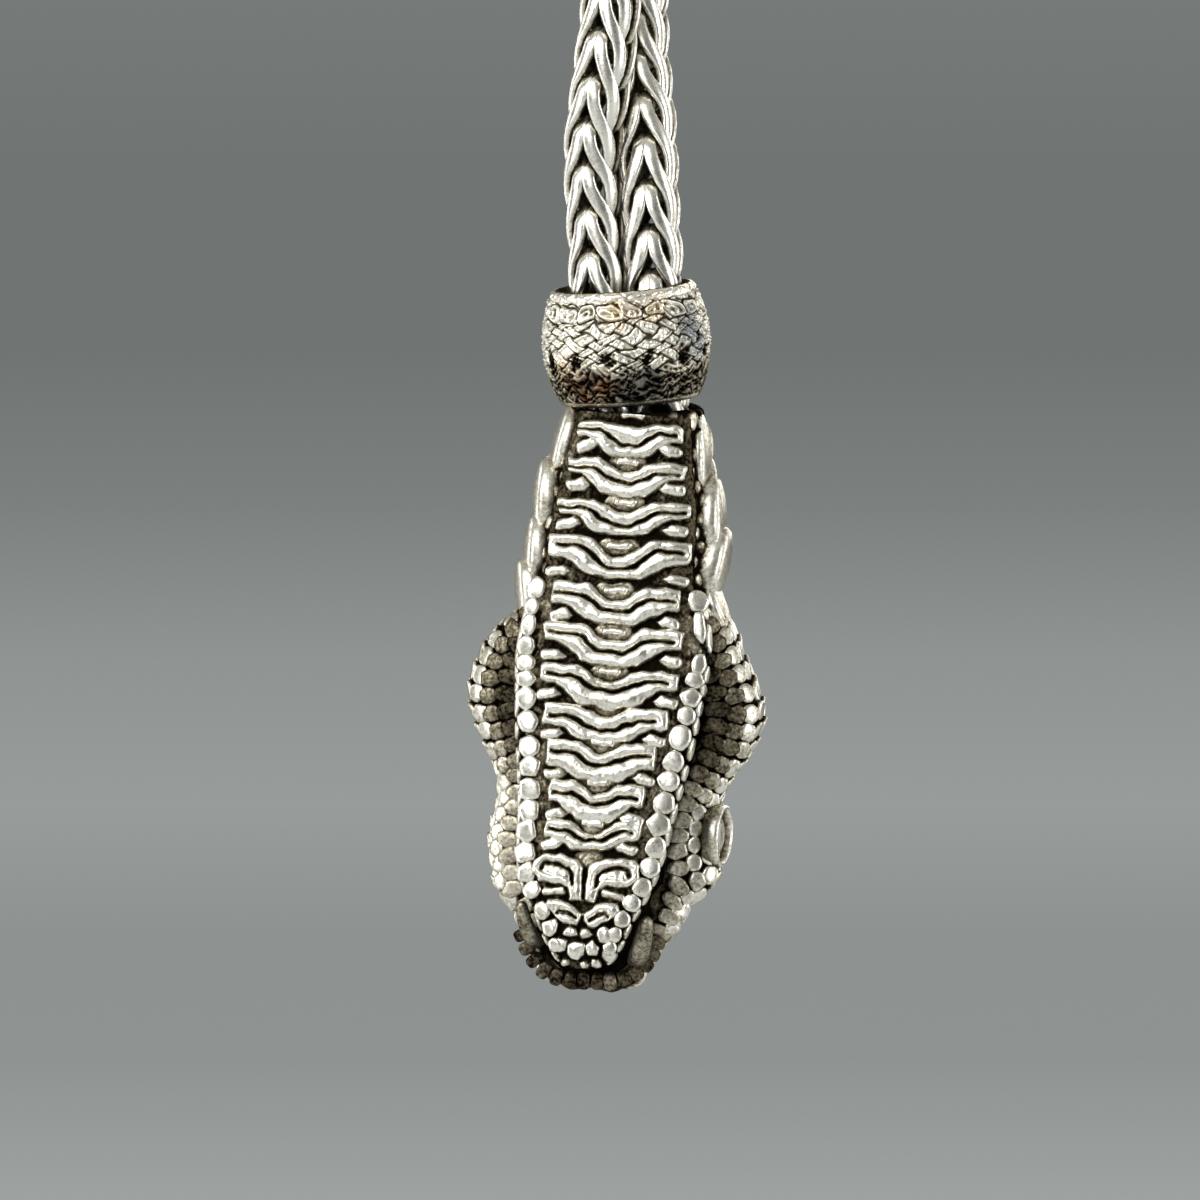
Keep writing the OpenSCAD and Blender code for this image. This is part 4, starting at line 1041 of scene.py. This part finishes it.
leaves = [(-4, s, length, EDGE_LEAF_WIDE, thick, lift) for s, length, thick, lift in RIGHT_EDGE]
leaves += [(194, s, length, EDGE_LEAF_WIDE, thick, lift) for s, length, thick, lift in LEFT_EDGE]
for row in range(BACK_ROWS):
    s = BACK_FIRST_S + BACK_PITCH * row
    back_angles, step = stepped_row(np.linspace(20, 170, 301), s, row, count=LEAVES_ROUND)
    leaves += [(angle, s, BACK_LENGTH, 1.22 * step, 0.75, 0.34) for angle in back_angles]
leaves.sort(key=lambda leaf: leaf[1])
points, faces, marks = join([petal(*leaf, i) for i, leaf in enumerate(leaves)])
neck_leaves = mesh_piece("head_neck_leaves", in_place(points), faces, cast_silver, {"oxide_and_shade": marks})
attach(neck_leaves, "necklace")
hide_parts("snake_head")

# Snout lip, eyes, nostrils and fangs
# Cast with the head: the row of lip scales round the snout's end, an eye in a raised ring on each
# side, small ringed nostrils, and two fangs that rise from the palate past the jaw's sides.
EYE_S, EYE_ANGLE, EYE_R, EYE_CORNERS = 29.5, -2, 1.9, 28
NOSTRIL_S, NOSTRIL_ANGLE = 38.2, 48
FANG_LINES = [[[3.1, -2.4, -38.9], [3.4, -4.0, -38.3], [3.75, -5.3, -37.2], [3.95, -6.1, -36.0]],
              [[-4.1, -2.4, -38.3], [-4.45, -3.8, -37.6], [-4.8, -4.9, -36.6], [-5.05, -5.6, -35.5]]]
# The middles of the lip scales round the snout's end, from the right side to the left. [x, s]
SNOUT_LIP = [
    [4.45, 37.35], [4.2, 38.2], [3.8, 38.95], [3.2, 39.6], [2.4, 40.05], [1.4, 40.35], [0.5, 40.42],
    [-0.5, 40.42], [-1.43, 40.4], [-2.45, 40.3], [-3.35, 39.9], [-4.1, 39.25], [-4.7, 38.45], [-5.15, 37.55]]
SNOUT_LIP_Y = -3.15


def turned_form(place, profile, sides=28):
    """A round form on the skin from its profile of [radius, height], with a point at its top."""
    centre, side, up, normal = place
    rings = [centre + r * circle(sides, side, up) + h * normal for r, h in profile]
    points = np.concatenate(rings + [[centre + profile[-1][1] * normal, centre + profile[0][1] * normal]])
    return points, capped_faces(len(rings), sides)


def tapered_horn(line, radii, sides=16):
    """A round horn along a line, with a rounded tip."""
    line = even_points(line, 18)
    radii = np.interp(np.linspace(0, 1, 18), np.linspace(0, 1, len(radii)), radii)
    run = unit(np.gradient(line, axis=0))
    side = unit(np.cross(run, [0, 0, 1.0]))
    other = np.cross(run, side)
    rings = [p + r * circle(sides, a, b) for p, r, a, b in zip(line, radii, side, other)]
    for beyond, narrow in ((0.455, 0.85), (0.78, 0.6), (0.936, 0.3)):
        rings.append(line[-1] + radii[-1] * (run[-1] * beyond + narrow * circle(sides, side[-1], other[-1])))
    points = np.concatenate(rings + [[line[-1] + run[-1] * radii[-1], line[0]]])
    return points, capped_faces(len(rings), sides)


eye_profile = [[EYE_R + 0.36, -0.5], [EYE_R + 0.38, 0.3], [EYE_R + 0.3, 0.58], [EYE_R + 0.1, 0.66],
               [EYE_R - 0.08, 0.5], [EYE_R - 0.14, 0.1], [EYE_R - 0.3, 0.0], [EYE_R - 0.5, 0.04],
               [EYE_R - 0.6, 0.2], [0.9, 0.34], [0.5, 0.4], [0.15, 0.42]]
eye_oxide = [0.5, 0.2, 0.02, 0.0, 0.1, 0.7, 0.95, 0.9, 0.4, 0.05, 0.0, 0.0]
nostril_profile = [[0.62, -0.4], [0.62, 0.1], [0.5, 0.32], [0.34, 0.34], [0.22, 0.1], [0.14, -0.25],
                   [0.06, -0.3]]
forms = []
# The left eye sits a little deeper and further back than the right one.
# [side, angle, moved out, turned to the back]
for mirror, angle, out, back in ((1, EYE_ANGLE, 0.25, -0.15), (-1, 164 - EYE_ANGLE, -0.85, 0.2)):
    centre = skull_point(angle, EYE_S) + [mirror * out, 0, 0]
    normal = unit(np.array([mirror * 1.0, back, 0.0]))
    up = np.array([0, 0, 1.0])
    eye = turned_form((centre, unit(np.cross(up, normal)), up, normal), eye_profile, EYE_CORNERS)
    forms.append((eye, np.append(np.repeat(eye_oxide, EYE_CORNERS), [0, 0.5])))
for angle in (NOSTRIL_ANGLE, 180 - NOSTRIL_ANGLE):
    forms.append((turned_form(skin_frame(skull_point, angle, NOSTRIL_S), nostril_profile), 0.25))
for line, radius in zip(FANG_LINES, (0.66, 0.54)):
    forms.append((tapered_horn(line, [radius, radius * 1.1, radius * 1.05, radius * 0.82]), 0.42))
path = np.array(SNOUT_LIP)
for i, (tangent, (px, ps)) in enumerate(zip(unit(np.gradient(path, axis=0)), path)):
    side = np.array([tangent[0], 0, -tangent[1]])
    normal = unit(np.array([0.28 * tangent[1], -1.0, 0.28 * tangent[0]]))
    up = unit(np.cross(normal, side))
    turn = full_turn(20)
    outline = np.stack([rng.uniform(0.42, 0.5) * bent(np.cos(turn), 0.6),
                        rng.uniform(0.52, 0.68) * bent(np.sin(turn), 0.65)], 1)
    made, quads, _ = domed_pad((np.array([px, SNOUT_LIP_Y, -ps]), side, up, normal), outline, 0.5)
    forms.append(((made, quads), rng.uniform(0.6, 0.82)))
points, faces, marks = join([(made, quads, np.full(len(made), mark)) for (made, quads), mark in forms])
features = mesh_piece("head_snout_eyes_fangs", in_place(points), faces, cast_silver, {"oxide_and_shade": marks})
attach(features, "necklace")
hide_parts("snake_head")

# Floor, light and camera
# The necklace hangs in front of plain grey paper. The floor is far below it, out of the picture.
# Broad soft boxes stand round the camera, so the rubbed silver shows white with dark hollows.
PX_PER_MM = 14.0
VIEW_CENTRE = (-1.857, -209.21)
CAMERA_AZIMUTH, CAMERA_DISTANCE_M = math.radians(6.5), 1.2
FLOOR_Z_M, FLOOR_HALF_M = -0.45, 3.0
floor_mesh = bpy.data.meshes.new("floor")
floor_mesh.from_pydata([(x * FLOOR_HALF_M, y * FLOOR_HALF_M, FLOOR_Z_M)
                        for x, y in ((-1, -1), (1, -1), (1, 1), (-1, 1))], [], [(0, 1, 2, 3)])
floor = placed("floor", floor_mesh)
paper = bpy.data.materials.new("matt_paper")
paper.use_nodes = True
paper.node_tree.nodes["Principled BSDF"].inputs["Base Color"].default_value = linear("#C9CBCB")
paper.node_tree.nodes["Principled BSDF"].inputs["Roughness"].default_value = 0.9
floor_mesh.materials.append(paper)
world = bpy.data.worlds.new("grey_surround")
bpy.context.scene.world = world
world.use_nodes = True
tree = world.node_tree
tree.nodes.clear()
level = add(tree, "SeparateXYZ", {0: add(tree, "TexCoord").outputs["Generated"]})
fade = remap(tree, level.outputs["Z"], -0.0357, 0.0357)
# The paper behind it as the camera sees it, with its light and shade painted in bands: lighter low down,
# darker higher up
paper_painted_light = colour_stops(add(tree, "ValToRGB", {"Fac": fade}),
                          [[0.0, "#9EA2A1"], [0.12, "#8F9392"], [0.22, "#8E9290"], [0.33, "#989C9B"],
                           [0.46, "#8F9392"], [0.58, "#7C807F"], [0.71, "#707473"], [0.86, "#707473"],
                           [1.0, "#767A79"]])
# What the silver reflects: a pale room above, grey at the sides and dark below
room = colour_stops(add(tree, "ValToRGB", {"Fac": remap(tree, level.outputs["Z"], -1.0, 1.0)}),
                    [[0.0, "#1A1A18"], [0.38, "#212120"], [0.5, "#343633"], [0.7, "#7A7C79"],
                     [1.0, "#BEBEBA"]])
seen = add(tree, "LightPath").outputs["Is Camera Ray"]
both = add(tree, "Mix", {0: seen, 6: room.outputs["Color"], 7: paper_painted_light.outputs["Color"]}, data_type="RGBA")
sky = add(tree, "Background", {"Color": both.outputs[2], "Strength": 1.0})
tree.links.new(sky.outputs[0], add(tree, "OutputWorld").inputs["Surface"])
head_middle = Vector((0, 0, -0.212))
# [place from the head's middle in metres, width, height, brightness]
SOFT_BOXES = [[(-0.35, -0.75, 0.55), 0.9, 0.55, 4.0], [(-0.14, -1.1, 0.18), 0.55, 0.45, 1.7],
              [(0.85, -0.25, 0.05), 0.28, 0.8, 4.0], [(-0.8, -0.35, 0.05), 0.3, 0.8, 4.6],
              [(0.75, 0.42, 0.08), 0.25, 0.8, 2.6], [(-0.75, 0.42, 0.08), 0.25, 0.8, 2.6],
              [(0.2, 0.9, 0.35), 0.8, 0.6, 1.6]]
for place, width, tall, brightness in SOFT_BOXES:
    lamp = bpy.data.lights.new("soft_box", "AREA")
    lamp.shape, lamp.size, lamp.size_y = "RECTANGLE", width, tall
    lamp.energy = brightness * math.pi * width * tall
    box = placed("soft_box", lamp)
    box.location = head_middle + Vector(place)
    box.rotation_euler = (-Vector(place)).to_track_quat("-Z", "Y").to_euler()
    box.visible_camera = False
camera_data = bpy.data.cameras.new("camera")
camera = placed("camera", camera_data)
bpy.context.scene.camera = camera
view_x, view_z = VIEW_CENTRE
target = Vector((view_x * math.cos(CAMERA_AZIMUTH), view_x * math.sin(CAMERA_AZIMUTH), view_z)) * MM
back = Vector((math.sin(CAMERA_AZIMUTH), -math.cos(CAMERA_AZIMUTH), 0))
camera.location = target + back * CAMERA_DISTANCE_M
camera.rotation_euler = (-back).to_track_quat("-Z", "Y").to_euler()
camera_data.sensor_width = 36.0
camera_data.lens = 36.0 * CAMERA_DISTANCE_M / (1200 / PX_PER_MM * MM)
camera_data.clip_start, camera_data.clip_end = 0.05, 20.0
bpy.context.scene.view_settings.view_transform = "Standard"
